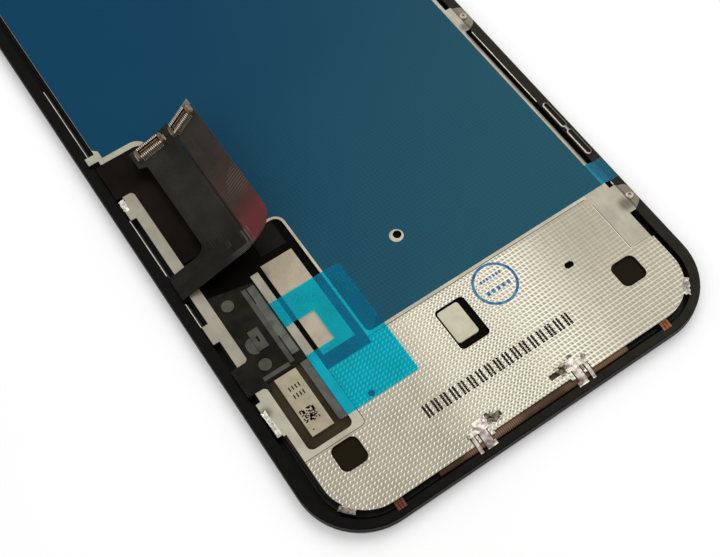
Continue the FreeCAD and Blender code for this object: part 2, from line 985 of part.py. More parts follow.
def pull_film():
    """Cyan pull film laid over the recess and the protective film, with a square window."""
    x_low = pocket_right - pull_overlap
    x_high = x_low + pull_width
    outline = [
        (x_low, chin(pull_bottom), 0),
        (x_high, chin(pull_bottom), pull_cut_corner),
        (x_high, chin(pull_top), pull_corner),
        (x_low, chin(pull_top), 0),
    ]
    window = [
        (x_low - through, chin(pull_cut_bottom), 0),
        (x_low + pull_cut_width, chin(pull_cut_bottom), 0),
        (x_low + pull_cut_width, chin(pull_cut_top), pull_cut_corner),
        (x_low - through, chin(pull_cut_top), 0),
    ]
    sheet = slab(outline, film_top, film_top + film_thickness)
    return sheet.cut(slab(window, film_top - through, film_top + through))


def edge_tape():
    """Cyan tape folded from the protective film over the right edge and onto the frame."""
    path = [
        (plate_right - edge_tape_overlap, film_top, 0),
        (plate_right, film_top, 0),
        (right(frame_side_wall) + edge_tape_landing, frame_top, 0),
        (right(edge_tape_inset), frame_top, 0),
    ]
    section = thick_path(path, film_thickness)
    return along_y(section, chin(edge_tape_bottom), chin(edge_tape_top))


def bed_film():
    """Black film under the flexible circuit, stretched over the upper end of the recess."""
    x_high = head_right + bed_overlap
    tab_left = plate_left - bed_tab_reach
    outline = [
        (pocket_left, chin(bed_bottom), 0),
        (x_high, chin(bed_bottom), 0),
        (x_high, chin(head_top), head_corner),
        (tab_left, chin(head_top), bed_tab_corner),
        (tab_left, chin(bed_tab_bottom), 0),
        (pocket_left, chin(bed_tab_bottom), bed_corner),
    ]
    return slab(outline, plate_top, film_top)


def controller_outline(draw=0):
    """Outline of the shielded controller, or the same drawn in for its label."""
    x_low = pocket_left + shield_from_border
    y_low = chin(shield_bottom)
    return rectangle(
        x_low + draw,
        x_low + shield_width - draw,
        y_low + draw,
        y_low + shield_length - draw,
    )


def controller_shield():
    """Small shielded controller in the pocket of the recess."""
    return slab(controller_outline(), insulation_top, insulation_top + shield_height)


def controller_label():
    """Paper label on the shielded controller."""
    bottom = insulation_top + shield_height
    return slab(controller_outline(label_margin), bottom, bottom + label_thickness)


def gasket_strip():
    """Dark foam strip along the right wall of the pocket."""
    x_high = pocket_right - gasket_gap
    x_low = x_high - gasket_width
    low = chin(gasket_bottom)
    outline = [
        (x_low, low, gasket_width * gasket_corner_share),
        (x_high, low, 0),
        (x_high, low + gasket_length, 0),
        (x_low, low + gasket_length, 0),
    ]
    return slab(outline, insulation_top, insulation_top + gasket_height)


def thermal_pad():
    """Soft pale pad in the well of the recess."""
    x_low = rib_right + pad_gap
    outline = rectangle(x_low, x_low + pad_width, chin(pad_bottom), chin(pad_top))
    return slab(outline, insulation_top, insulation_top + pad_thickness)


def touch_tail():
    """Flat tail of the touch circuit, at the upper end of the well."""
    x_high = rib_right + pad_gap + pad_width
    low = chin(pad_top + tail_gap)
    outline = rectangle(x_high - tail_width, x_high, low, low + tail_length)
    return slab(outline, insulation_top, insulation_top + tail_thickness)


def window_pad():
    """Pale block seen through the window of the steel back."""
    x_low = window_x - window_width / 2 + window_pad_side_gap
    y_high = chin(window_from_chin) + window_length / 2 - window_pad_top_gap
    y_low = y_high - window_pad_length
    outline = rectangle(x_low, x_low + window_pad_width, y_low, y_high, window_pad_corner)
    return slab(outline, insulation_top, insulation_top + window_pad_height)


def board_outline():
    """Outline of the driver board, its far end cut on the slant."""
    x_low, x_high = pocket_left + board_gap, pocket_right - board_gap
    return [
        (x_low, chin(board_bottom), 0),
        (x_high, chin(board_bottom), 0),
        (x_high, chin(board_right_top), 0),
        (x_low, chin(board_left_top), 0),
    ]


def driver_board():
    """Thin circuit board in the recess."""
    return slab(board_outline(), insulation_top, insulation_top + board_thickness)


def board_item(place, size, bottom, upper, left_corner=0):
    """Block standing on the driver board, its place measured from the board's corner."""
    x = pocket_left + board_gap + place[0]
    y = chin(board_bottom) + place[1]
    outline = [
        (x, y, left_corner),
        (x + size[0], y, 0),
        (x + size[0], y + size[1], 0),
        (x, y + size[1], left_corner),
    ]
    return slab(outline, bottom, upper)


def board_items(bottom, upper):
    """Everything that stands on the driver board, between two levels."""
    x, y = pocket_left + board_gap, chin(board_bottom)
    items = [disc(x + dx, y + dy, coil_radius, bottom, upper) for dx, dy in coil_places]
    items.append(board_item(filter_place, filter_size, bottom, upper, filter_corner))
    items.append(board_item(foot_bar_place, foot_bar_size, bottom, upper))
    for place_x, place_y, width, length in side_bars:
        items.append(board_item((place_x, place_y), (width, length), bottom, upper))
    chip = board_item(chip_place, chip_size, bottom, upper)
    slot_place = [chip_place[axis] + (chip_size[axis] - chip_slot_size[axis]) / 2 for axis in (0, 1)]
    slot = board_item(slot_place, chip_slot_size, upper - emboss_height, upper + through)
    items.append(chip.cut(slot))
    return items


def board_components():
    """Separate components that stand on the driver board, under its tape."""
    return Part.makeCompound(board_items(insulation_top + board_thickness, plate_top))


def driver_tape():
    """Black shielding tape over the driver board, raised where components stand under it."""
    x_low = pocket_left + board_gap - tape_overhang
    x_high = pocket_right - board_gap + tape_overhang
    tab_left = plate_left - tape_tab_reach
    tongue = chin(tape_tab_bottom - tape_tongue_length)
    y_low = chin(board_bottom) - tape_overhang
    outline = [
        (tab_left, chin(tape_tab_bottom), 0),
        (x_low, chin(tape_tab_bottom), tape_tab_corner),
        (x_low, tongue, 0),
        (x_low + tape_tongue_width, tongue, 0),
        (x_low + tape_tongue_width, y_low, 0),
        (x_high, y_low, 0),
        (x_high, chin(board_right_top) + tape_overhang, 0),
        (x_low, chin(board_left_top) + tape_overhang, 0),
        (x_low, chin(tape_tab_top), tape_tab_corner),
        (tab_left, chin(tape_tab_top), 0),
    ]
    pieces = [slab(outline, plate_top, film_top)]
    return joined(pieces + board_items(plate_top, film_top + emboss_height))


def flex_start():
    """Point where the underside of the main circuit leaves the groove."""
    x = left(frame_side_wall) + flex_wall_gap + flex_thickness
    return x, plate_top + flex_start_height


def flex_bend():
    """Point where the underside of the main circuit turns up more steeply."""
    return left(flex_bend_inset), plate_top + flex_bend_height


def flex_end():
    """Right hand end of the underside of the main circuit."""
    return left(flex_end_inset), plate_top + flex_end_height


def flex_section():
    """Section of the main circuit in XZ: foot on the panel edge, rise, two slopes."""
    start_x, start_z = flex_start()
    foot_z = tft_top + flex_thickness
    path = [
        (left(tft_inset + flex_foot), foot_z, 0),
        (start_x, foot_z, flex_root_radius),
        (start_x, start_z, flex_root_radius),
        (*flex_bend(), flex_bend_radius),
        (*flex_end(), 0),
    ]
    return thick_path(path, flex_thickness)


def flex_outline():
    """Plan outline of the main circuit: a band to the left edge and two arms."""
    band_top = flex_bottom + flex_band
    root = left(frame_side_wall)
    end = left(flex_end_inset)
    arm = left(arm_left_inset)
    slit_left = left(arm_slit_inset) - slit_width / 2
    slit_right = slit_left + slit_width
    flare = arm - flare_reach
    left_arm_end = chin(flex_top)
    right_arm_end = chin(flex_top - right_arm_shortfall)
    slit_end = chin(flex_top - slit_length)
    flare_end = chin(flex_top - flare_length)
    return [
        (root, chin(flex_bottom), 0),
        (end, chin(flex_bottom), flex_outer_corner),
        (end, right_arm_end, 0),
        (slit_right, right_arm_end, 0),
        (slit_right, slit_end, 0),
        (slit_left, slit_end, 0),
        (slit_left, left_arm_end, 0),
        (flare, left_arm_end, 0),
        (flare, flare_end + flare_reach / 2, 0),
        (arm, flare_end, 0),
        (arm, chin(band_top), flex_inner_corner),
        (root, chin(band_top), 0),
    ]


def main_flex():
    """Main flexible circuit, one bent sheet cut to its plan outline."""
    sheet = along_y(flex_section(), chin(flex_bottom) - through, chin(flex_top) + through)
    return sheet.common(slab(flex_outline(), 0, plate_top + flex_end_height + through))


def on_slope(shape, start, end, inset, from_chin, lift):
    """Place a shape on one slope of the main circuit, lifted off its underside."""
    run, rise = end[0] - start[0], end[1] - start[1]
    angle = math.atan2(rise, run)
    x = left(inset)
    z = start[1] + (x - start[0]) * rise / run
    shape.rotate(FreeCAD.Vector(0, 0, 0), FreeCAD.Vector(0, 1, 0), -math.degrees(angle))
    normal = FreeCAD.Vector(-math.sin(angle), 0, math.cos(angle))
    shape.translate(FreeCAD.Vector(x, chin(from_chin), z) + normal * lift)
    return shape


def on_arm(shape, side, lift):
    """Place a shape at the connector of the left (-1) or the right (1) arm."""
    if side < 0:
        place = (left_connector_inset, flex_top - left_connector_from_end)
        return on_slope(shape, flex_start(), flex_bend(), *place, lift)
    place = (right_connector_inset, flex_top - right_arm_shortfall - right_connector_from_end)
    return on_slope(shape, flex_bend(), flex_end(), *place, lift)


def stiffener(side):
    """Steel stiffener under the end of an arm."""
    plate = slab(centred(0, 0, stiffener_length, stiffener_width), -stiffener_thickness, 0)
    return on_arm(plate, side, 0)


def connector(side):
    """Board connector housing: an oblong trough with a ridge along its middle."""
    outline = centred(0, 0, connector_length, connector_width)
    body = slab(outline, 0, connector_height)
    trough_length = connector_length - 2 * connector_end
    trough = centred(0, 0, trough_length, connector_width - 2 * connector_wall)
    body = body.cut(slab(trough, connector_floor, connector_height + through))
    ridge_length = trough_length - 2 * ridge_gap
    ridge = slab(centred(0, 0, ridge_length, ridge_width), 0, connector_floor + ridge_height)
    return on_arm(joined([body, ridge]), side, flex_thickness)


def contact_solid(x, y_side):
    """One contact: a riser up the side of the housing and a soldered foot."""
    face = y_side * connector_width / 2
    riser = face + y_side * contact_thickness
    toe = face + y_side * contact_foot
    x_low, x_high = x - contact_width / 2, x + contact_width / 2
    up = block(x_low, x_high, min(face, riser), max(face, riser), 0, connector_height)
    foot = block(x_low, x_high, min(face, toe), max(face, toe), 0, contact_thickness)
    return joined([up, foot])


def clamp_solid(x_side):
    """End clamp: a plate up the end of the housing and a soldered foot."""
    face = x_side * connector_length / 2
    riser = face + x_side * contact_thickness
    toe = face + x_side * clamp_foot
    y_low, y_high = -clamp_width / 2, clamp_width / 2
    up = block(min(face, riser), max(face, riser), y_low, y_high, 0, connector_height)
    foot = block(min(face, toe), max(face, toe), y_low, y_high, 0, contact_thickness)
    return joined([up, foot])


def connector_contacts(side):
    """Two rows of separate contacts and the two end clamps of a connector."""
    solids = []
    for index in range(contact_count):
        x = (index - (contact_count - 1) / 2) * contact_pitch
        for y_side in (-1, 1):
            solids.append(contact_solid(x, y_side))
    for x_side in (-1, 1):
        solids.append(clamp_solid(x_side))
    return on_arm(Part.makeCompound(solids), side, flex_thickness)


def driver_film():
    """Driver film, folded round the chin edge of the panel from its ledge to the back."""
    inner_edge = chin(driver_film_edge) + sheet_thickness
    foot_z = tft_top + sheet_thickness
    radius = (insulation_top - foot_z) * driver_film_bend_share
    path = [
        (chin(driver_film_foot), foot_z, 0),
        (inner_edge, foot_z, radius),
        (inner_edge, insulation_top, radius),
        (chin(driver_film_reach), insulation_top, 0),
    ]
    section = thick_path(path, sheet_thickness)
    return along_x(section, -driver_film_half_width, driver_film_half_width)


def driver_chip():
    """Driver chip on the back leg of the driver film, under the steel back."""
    bottom = insulation_top + sheet_thickness
    outline = centred(0, chin(driver_chip_from_chin), driver_chip_length, driver_chip_width)
    return slab(outline, bottom, bottom + driver_chip_height)


def clip_section(end):
    """Section in YZ of a clip finger: foot on the frame, knee, slope up to the back."""
    path = [
        (chin(clip_tip), frame_top, 0),
        (chin(clip_foot), frame_top, 0),
        (chin(clip_knee), plate_bottom, 0),
        (chin(clip_base_bottom), plate_top, 0),
        (chin(end), plate_top, 0),
    ]
    return thick_path(path, clip_thickness)


def chin_clip(side):
    """Spring clip on the chin edge: a base on the steel back, a wide and a thin finger."""
    head_end = clip_base_bottom + clip_head_length
    wide = along_x(clip_section(clip_base_top), clip_wide_inner, clip_wide_inner + clip_wide_width)
    thin = along_x(clip_section(head_end), clip_thin_inner, clip_thin_inner + clip_thin_width)
    foot_low = clip_wide_inner - clip_foot_extra
    foot = along_x(clip_section(head_end), foot_low, clip_wide_inner + clip_wide_width)
    foot_end = block(0, half_width, chin(clip_foot_end), 0, 0, plate_top + through)
    foot = foot.cut(foot_end)
    base_high = clip_base_inner + clip_base_width
    low, upper = chin(clip_base_bottom), plate_top + clip_thickness
    base = rectangle(clip_base_inner, base_high, low, chin(clip_base_top), clip_base_corner)
    head_high = clip_thin_inner + clip_thin_width / 2 + clip_head_width / 2
    head = rectangle(base_high - clip_head_overlap, head_high, low, chin(head_end), clip_base_corner)
    pieces = [wide, thin, foot, slab(base, plate_top, upper), slab(head, plate_top, upper)]
    clip = joined(pieces)
    if side < 0:
        clip = clip.mirror(FreeCAD.Vector(0, 0, 0), FreeCAD.Vector(1, 0, 0))
    return clip


def ground_pads():
    """Two copper pads bent from the frame to the back of the panel, each slit in three."""
    path = [
        (chin(ground_pad_tip), frame_top, 0),
        (chin(ground_pad_foot), frame_top, 0),
        (chin(ground_pad_knee), insulation_top, 0),
        (chin(ground_pad_end), insulation_top, 0),
    ]
    section = thick_path(path, ground_pad_thickness)
    pads = []
    for side in (-1, 1):
        x_low = side * right(ground_pad_inset) - ground_pad_width / 2
        pad = along_x(section, x_low, x_low + ground_pad_width)
        slits = []
        for third in (1, 2):
            x = x_low + third * ground_pad_width / 3 - ground_pad_slit / 2
            slits.append(
                block(x, x + ground_pad_slit, chin(0), chin(ground_pad_knee), 0, plate_top)
            )
        pads.append(without(pad, slits))
    return Part.makeCompound(pads)


PARTS = {
    "cover_glass": cover_glass,
    "border_mask": border_mask,
    "optical_adhesive": lambda: slab(
        panel_outline(filter_inset, filter_from_chin), mask_top, adhesive_top
    ),
    "front_polarizer": lambda: slab(
        panel_outline(polarizer_inset, filter_from_chin), adhesive_top, front_polarizer_top
    ),
    "color_filter_glass": lambda: slab(
        panel_outline(filter_inset, filter_from_chin), front_polarizer_top, filter_top
    ),
    "tft_glass": lambda: slab(panel_outline(tft_inset, tft_from_chin), filter_top, tft_top),
    "rear_polarizer": lambda: slab(sheet_outline(), tft_top, rear_polarizer_top),
    "upper_prism_sheet": lambda: slab(sheet_outline(), rear_polarizer_top, upper_prism_top),
    "lower_prism_sheet": lambda: slab(sheet_outline(), upper_prism_top, lower_prism_top),
    "diffuser_sheet": lambda: slab(sheet_outline(), lower_prism_top, diffuser_top),
    "light_guide": light_guide,
    "reflector_sheet": reflector_sheet,
    "leds": leds,
    "led_flex": led_flex,
    "backlight_frame": backlight_frame,
    "backlight_tray": backlight_tray,
    "insulation_film": insulation_film,
    "display_frame": display_frame,
    "left_rail": left_rail,
    "right_rail": right_rail,
    "side_clip": side_clip,
    "back_plate": back_plate,
    "blue_film": blue_film,
    "pull_film": pull_film,
    "edge_tape": edge_tape,
    "bed_film": bed_film,
    "controller_shield": controller_shield,
    "controller_label": controller_label,
    "gasket_strip": gasket_strip,
    "thermal_pad": thermal_pad,
    "touch_tail": touch_tail,
    "window_pad": window_pad,
    "driver_board": driver_board,
    "board_components": board_components,
    "driver_tape": driver_tape,
    "main_flex": main_flex,
    "stiffener_left": lambda: stiffener(-1),
    "stiffener_right": lambda: stiffener(1),
    "connector_left": lambda: connector(-1),
    "connector_right": lambda: connector(1),
    "contacts_left": lambda: connector_contacts(-1),
    "contacts_right": lambda: connector_contacts(1),
    "driver_film": driver_film,
    "driver_chip": driver_chip,
    "chin_clip_left": lambda: chin_clip(-1),
    "chin_clip_right": lambda: chin_clip(1),
    "ground_pads": ground_pads,
}


def main():
    """Build every piece and write it to its own file."""
    os.makedirs("parts", exist_ok=True)
    for name, build in PARTS.items():
        build().exportStep("parts/" + name + ".step")


main()
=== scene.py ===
import math
import random

import bmesh
import bpy
from mathutils import Matrix, Vector


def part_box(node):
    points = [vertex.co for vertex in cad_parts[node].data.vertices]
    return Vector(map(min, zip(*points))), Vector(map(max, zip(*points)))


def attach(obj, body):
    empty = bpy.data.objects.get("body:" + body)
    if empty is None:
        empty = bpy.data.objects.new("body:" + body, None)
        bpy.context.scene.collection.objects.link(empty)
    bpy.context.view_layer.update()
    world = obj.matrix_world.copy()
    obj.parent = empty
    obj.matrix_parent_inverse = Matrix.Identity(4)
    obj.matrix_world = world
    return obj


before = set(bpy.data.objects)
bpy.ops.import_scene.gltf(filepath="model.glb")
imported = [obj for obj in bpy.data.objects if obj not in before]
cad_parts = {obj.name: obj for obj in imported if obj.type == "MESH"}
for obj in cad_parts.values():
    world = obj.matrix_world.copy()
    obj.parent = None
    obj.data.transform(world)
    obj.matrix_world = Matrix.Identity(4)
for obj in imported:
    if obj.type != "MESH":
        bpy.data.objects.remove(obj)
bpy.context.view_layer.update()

MM = 0.001

# Lengths are in millimetres in the frame of the model. A place called from_chin is a distance
# along Y from the chin edge of the glass.
HALF_LENGTH = 74.1
PLATE_TOP = 2.9
PLATE_THICKNESS = 0.2
FRAME_TOP = 2.3

# Camera, found from the photograph: its place and the three directions of its axes. The clip
# distances are in metres.
CAMERA_PLACE = (-48.90, -110.587, 162.37)
CAMERA_RIGHT = (0.8302, -0.5558, -0.0439)
CAMERA_UP = (0.5121, 0.7289, 0.4544)
CAMERA_BACK = (-0.2206, -0.3997, 0.8898)
CAMERA_LENS = 56.55
CAMERA_CLIP = (0.01, 10)
SENSOR_WIDTH = 36.0

# Signs of the four corners of a rectangle, in turn
CORNERS = ((-1, -1), (1, -1), (1, 1), (-1, 1))


def row_y(from_chin):
    """Y in the frame of the model of a place at a distance from the chin edge."""
    return from_chin - HALF_LENGTH


def linear(red, green, blue):
    """Colour as written for a screen, 0 to 255, turned to a linear colour."""
    values = []
    for part in (red, green, blue):
        share = part / 255
        values.append(share / 12.92 if share <= 0.04045 else ((share + 0.055) / 1.055) ** 2.4)
    return (*values, 1.0)


# Half the width of the edge of a mask, and the spans of noise that patches and gloss follow
EDGE_SOFTNESS = 0.04
CLOUD_SPAN = (0.3, 0.7)
GLOSS_SPAN = (0.2, 0.8)


class Paint:
    """One node material, with short calls for the nodes that it is made of."""

    def __init__(self, name, roughness, metallic, specular):
        self.material = bpy.data.materials.new(name)
        self.material.use_nodes = True
        self.tree = self.material.node_tree
        self.shader = self.tree.nodes["Principled BSDF"]
        self.shader.inputs["Roughness"].default_value = roughness
        self.shader.inputs["Metallic"].default_value = metallic
        self.shader.inputs["Specular IOR Level"].default_value = specular
        coordinates = self.tree.nodes.new("ShaderNodeTexCoord")
        self.place = self.vector("SCALE", coordinates.outputs["Object"], scale=1 / MM)
        parts = self.tree.nodes.new("ShaderNodeSeparateXYZ")
        self.tree.links.new(self.place, parts.inputs[0])
        self.x, self.y, self.z = parts.outputs
        self.from_chin = self.math("ADD", self.y, HALF_LENGTH)

    def plug(self, socket, value):
        """Give a socket a constant or another node's output."""
        if isinstance(value, bpy.types.NodeSocket):
            self.tree.links.new(value, socket)
        else:
            socket.default_value = value

    def vector(self, operation, first, second=None, scale=None):
        """Vector maths; the result is a vector, or a number for LENGTH and DOT_PRODUCT."""
        node = self.tree.nodes.new("ShaderNodeVectorMath")
        node.operation = operation
        self.plug(node.inputs[0], first)
        if second is not None:
            self.plug(node.inputs[1], second)
        if scale is not None:
            self.plug(node.inputs["Scale"], scale)
        return node.outputs["Value" if operation in ("LENGTH", "DOT_PRODUCT") else "Vector"]

    def math(self, operation, first, second=None):
        """Maths on one or two numbers."""
        node = self.tree.nodes.new("ShaderNodeMath")
        node.operation = operation
        self.plug(node.inputs[0], first)
        if second is not None:
            self.plug(node.inputs[1], second)
        return node.outputs[0]

    def gather(self, operation, first, *others):
        """One operation on several numbers in turn."""
        for other in others:
            first = self.math(operation, first, other)
        return first

    def every(self, *masks):
        """Product of masks."""
        return self.gather("MULTIPLY", *masks)

    def either(self, *masks):
        """Largest of masks."""
        return self.gather("MAXIMUM", *masks)

    def total(self, *parts):
        """Sum of numbers."""
        return self.gather("ADD", *parts)

    def inverse(self, mask):
        """1 where a mask is 0."""
        return self.math("SUBTRACT", 1.0, mask)

    def ramp(self, value, low, high, start=0.0, end=1.0):
        """Smooth step of a number from low to high."""
        node = self.tree.nodes.new("ShaderNodeMapRange")
        node.interpolation_type = "SMOOTHSTEP"
        self.plug(node.inputs["Value"], value)
        for name, number in (("From Min", low), ("From Max", high), ("To Min", start), ("To Max", end)):
            self.plug(node.inputs[name], number)
        return node.outputs["Result"]

    def above(self, value, edge, softness=EDGE_SOFTNESS):
        """1 above an edge and 0 below it."""
        return self.ramp(value, edge - softness, edge + softness)

    def below(self, value, edge, softness=EDGE_SOFTNESS):
        """1 below an edge and 0 above it."""
        return self.ramp(value, edge - softness, edge + softness, 1.0, 0.0)

    def between(self, value, low, high, softness=EDGE_SOFTNESS):
        """1 between two edges and 0 outside them."""
        return self.every(self.above(value, low, softness), self.below(value, high, softness))

    def noise(self, scale, detail=3.0, stretch=None):
        """Noise whose scale is in cycles per millimetre; stretch multiplies the coordinates."""
        node = self.tree.nodes.new("ShaderNodeTexNoise")
        place = self.place if stretch is None else self.vector("MULTIPLY", self.place, stretch)
        self.plug(node.inputs["Vector"], place)
        node.inputs["Scale"].default_value = scale
        node.inputs["Detail"].default_value = detail
        return node.outputs["Fac"]

    def cloud(self, scale, detail=3.0, span=CLOUD_SPAN):
        """Soft patches from 0 to 1."""
        return self.ramp(self.noise(scale, detail), *span)

    def stripes(self, value, pitch, share=0.5, softness=0.15):
        """Stripes along a number: 1 on the line and 0 between, each share of the pitch wide."""
        turn = self.math("FRACT", self.math("DIVIDE", value, pitch))
        away = self.math("ABSOLUTE", self.math("SUBTRACT", turn, 0.5))
        return self.ramp(away, share / 2 - softness / 2, share / 2 + softness / 2, 1.0, 0.0)

    def wave(self, across, along, shift=0.0):
        """Cosine wave with so many turns a step of the dimples along X and along Y."""
        step = 2 * math.pi / DIMPLE_PITCH
        turn = self.vector("DOT_PRODUCT", self.place, (across * step, along * step, 0))
        return self.math("COSINE", self.math("ADD", turn, shift))

    def dimples(self, inner, outer):
        """Square lattice of round dimples: 1 in the middle of each and 0 between them."""
        cell = self.vector("FRACTION", self.vector("SCALE", self.place, scale=1 / DIMPLE_PITCH))
        flat = self.vector("MULTIPLY", self.vector("SUBTRACT", cell, (0.5, 0.5, 0.5)), (1, 1, 0))
        return self.ramp(self.vector("LENGTH", flat), inner, outer, 1.0, 0.0)

    def spot(self, x, from_chin, radius, softness):
        """Round spot on the plan, 1 inside."""
        away = self.vector("SUBTRACT", self.place, (x, row_y(from_chin), 0))
        distance = self.vector("LENGTH", self.vector("MULTIPLY", away, (1, 1, 0)))
        return self.ramp(distance, radius * (1 - softness), radius * (1 + softness), 1.0, 0.0)

    def blend(self, share, first, second):
        """Mix of two linear colours."""
        node = self.tree.nodes.new("ShaderNodeMix")
        node.data_type = "RGBA"
        self.plug(node.inputs["Factor"], share)
        self.plug(node.inputs["A"], first)
        self.plug(node.inputs["B"], second)
        return node.outputs["Result"]

    def shades(self, share, dark, light):
        """Mix of two screen colours."""
        return self.blend(share, linear(*dark), linear(*light))

    def over(self, share, under, colour):
        """A screen colour laid over another colour where a mask is 1."""
        return self.blend(share, under, linear(*colour))

    def colour(self, value):
        """Base colour of the shader."""
        self.plug(self.shader.inputs["Base Color"], value)

    def relief(self, height, depth):
        """Bump from a height between 0 and 1, depth in millimetres."""
        node = self.tree.nodes.new("ShaderNodeBump")
        node.inputs["Distance"].default_value = depth * MM
        self.plug(node.inputs["Height"], height)
        self.tree.links.new(node.outputs["Normal"], self.shader.inputs["Normal"])

    def gloss(self, low, high, pattern):
        """Roughness that varies between two values over a pattern."""
        self.plug(self.shader.inputs["Roughness"], self.ramp(pattern, *GLOSS_SPAN, low, high))


# Roughness of a mottled material varies between these shares of its value
GLOSS_SHARES = (0.85, 1.15)


def mottled(name, dark, light, roughness, metallic=0.0, specular=0.5, scale=0.6, grain=8.0, depth=0.004):
    """Plain material with soft mottling, varied gloss and a fine grain."""
    paint = Paint(name, roughness, metallic, specular)
    paint.colour(paint.shades(paint.cloud(scale, 4.0), dark, light))
    fine = paint.noise(grain, 2.0)
    glossy, dull = (min(1.0, roughness * share) for share in GLOSS_SHARES)
    paint.gloss(glossy, dull, fine)
    paint.relief(fine, depth)
    return paint.material


# Pressed steel. The dimples end at the fold line, beside the recess and beside the ear.
DIMPLE_PITCH = 0.707
FOLD_FROM_CHIN = 26.0
POCKET_LINE_X = -21.95
POCKET_LINE_FROM_CHIN = 14.45
SIDE_LINE_X = 28.9
SIDE_LINE_FROM_CHIN = 14.9
SIDE_LINE_TOP = 24.6

# Waves whose sum makes the dimples: turns a step along X and along Y, phase, and a strength
# that goes over a span of X from one value to another
DIMPLE_WAVES = (
    (1, -1, 0.0, 1.0, 10.0, 1.0, 0.15),
    (1, 1, 2.6, 0.0, 1.0, 0.45, 0.45),
    (0, 2, -0.85, -2.0, 12.0, 0.6, 0.2),
    (1, 0, 0.0, 12.0, 22.0, 0.45, 0.15),
    (0, 1, 0.0, 0.0, 12.0, 0.4, 0.8),
)

# Spans of X over which the painted glints grow, the painted shade in the hollows deepens, the glints
# turn to a net, the lines of the net weaken, its crossings come up, and the dimples fade
GLINT_SPAN = (-13.0, -5.0)
HOLLOW_SHADE_SPAN = (-10.0, 0.0)
TO_NET_SPAN = (2.0, 12.0)
NET_SPAN = (8.0, 20.0)
CROSSING_SPAN = (9.0, 20.0)
FADE_SPAN = (9.0, 21.0)

# The dimpled steel is bright in the middle, duller at the right and calm in its upper right corner
BRIGHT_FROM = (-14.0, -4.0)
BRIGHT_TO = (7.0, 20.0)
DULLER_SPAN = (12.0, 24.0)
CALM_SPAN_X = (10.0, 25.0)
CALM_SPAN_FROM_CHIN = (8.0, 21.0)

# Turned edge between the two ears, darkened with painted shade, and the duller steel at the upper left
TURNED_EDGE_X = 33.03
TURNED_EDGE_SPAN = (28.3, 65.0)
UPPER_LEFT_SPAN = (28.0, 72.0)

# Spots of painted shade on the steel, by the bends of the ears, the left foil and the right clip: X,
# distance from the chin, radius and softness
STEEL_SHADE_SPOTS = (
    (33.5, 21.6, 1.1, 0.6),
    (33.9, 66.2, 0.9, 0.6),
    (-33.6, 24.4, 0.9, 0.6),
    (9.65, 3.3, 0.42, 0.4),
)


def dimpled_area(paint):
    """1 where the steel is dimpled."""
    below_fold = paint.below(paint.from_chin, FOLD_FROM_CHIN)
    beside_pocket = paint.every(
        paint.below(paint.x, POCKET_LINE_X), paint.above(paint.from_chin, POCKET_LINE_FROM_CHIN)
    )
    beside_ear = paint.every(
        paint.above(paint.x, SIDE_LINE_X), paint.above(paint.from_chin, SIDE_LINE_FROM_CHIN)
    )
    return paint.every(below_fold, paint.inverse(beside_pocket), paint.inverse(beside_ear))


def dimple_highlight_and_shade(paint):
    """Raised share of the dimples, which lifts the bump and carries painted highlights (slanting glints
    at the left, a net at the right), and sunk share, which carries painted shade.
    """
    lattice = paint.total(
        *(
            paint.every(paint.wave(across, along, shift), paint.ramp(paint.x, *strength))
            for across, along, shift, *strength in DIMPLE_WAVES
        )
    )
    level = paint.ramp(paint.x, *GLINT_SPAN, 0.6, 0.05)
    fullness = paint.ramp(paint.x, *GLINT_SPAN, 1.1, 1.5)
    glints = paint.ramp(paint.math("SUBTRACT", lattice, level), 0.0, fullness)
    column, row = paint.wave(1, 0), paint.wave(0, 1)
    columns = paint.every(paint.ramp(column, 0.5, 1.0), paint.ramp(paint.x, *NET_SPAN, 0.8, 0.35))
    rows = paint.every(paint.ramp(row, 0.2, 1.0), paint.ramp(paint.x, *NET_SPAN, 1.0, 0.5))
    crossings = paint.every(
        paint.ramp(column, -0.4, 1.0), paint.ramp(row, -0.2, 1.0), paint.ramp(paint.x, *CROSSING_SPAN)
    )
    net = paint.either(columns, rows, crossings)
    to_net = paint.ramp(paint.x, *TO_NET_SPAN, 0.0, 0.6)
    raised_with_highlight = paint.total(paint.every(glints, paint.inverse(to_net)), paint.every(net, to_net))
    # Painted shade in the hollows of the dimples, stronger towards the right
    hollows = paint.ramp(lattice, -1.7, -0.1, 1.0, 0.0)
    sunk_shade = paint.every(hollows, paint.ramp(paint.x, *HOLLOW_SHADE_SPAN, 0.45, 1.0))
    return raised_with_highlight, sunk_shade


def side_fold_light(paint, steel):
    """Painted highlight along the fold line beside the ear, and painted shade along the end of the plain
    band.
    """
    glint = paint.every(
        paint.between(paint.x, SIDE_LINE_X - 0.06, SIDE_LINE_X + 0.05, 0.03),
        paint.between(paint.from_chin, SIDE_LINE_FROM_CHIN, SIDE_LINE_TOP),
    )
    # Painted highlight along the fold line
    steel = paint.over(glint, steel, (216, 212, 198))
    # Painted shade along the end of the plain band
    band_end_shade = paint.every(
        paint.above(paint.x, SIDE_LINE_X + 0.7, 0.3),
        paint.between(paint.from_chin, SIDE_LINE_FROM_CHIN - 0.1, SIDE_LINE_FROM_CHIN + 0.02, 0.03),
    )
    return paint.over(band_end_shade, steel, (112, 105, 88))


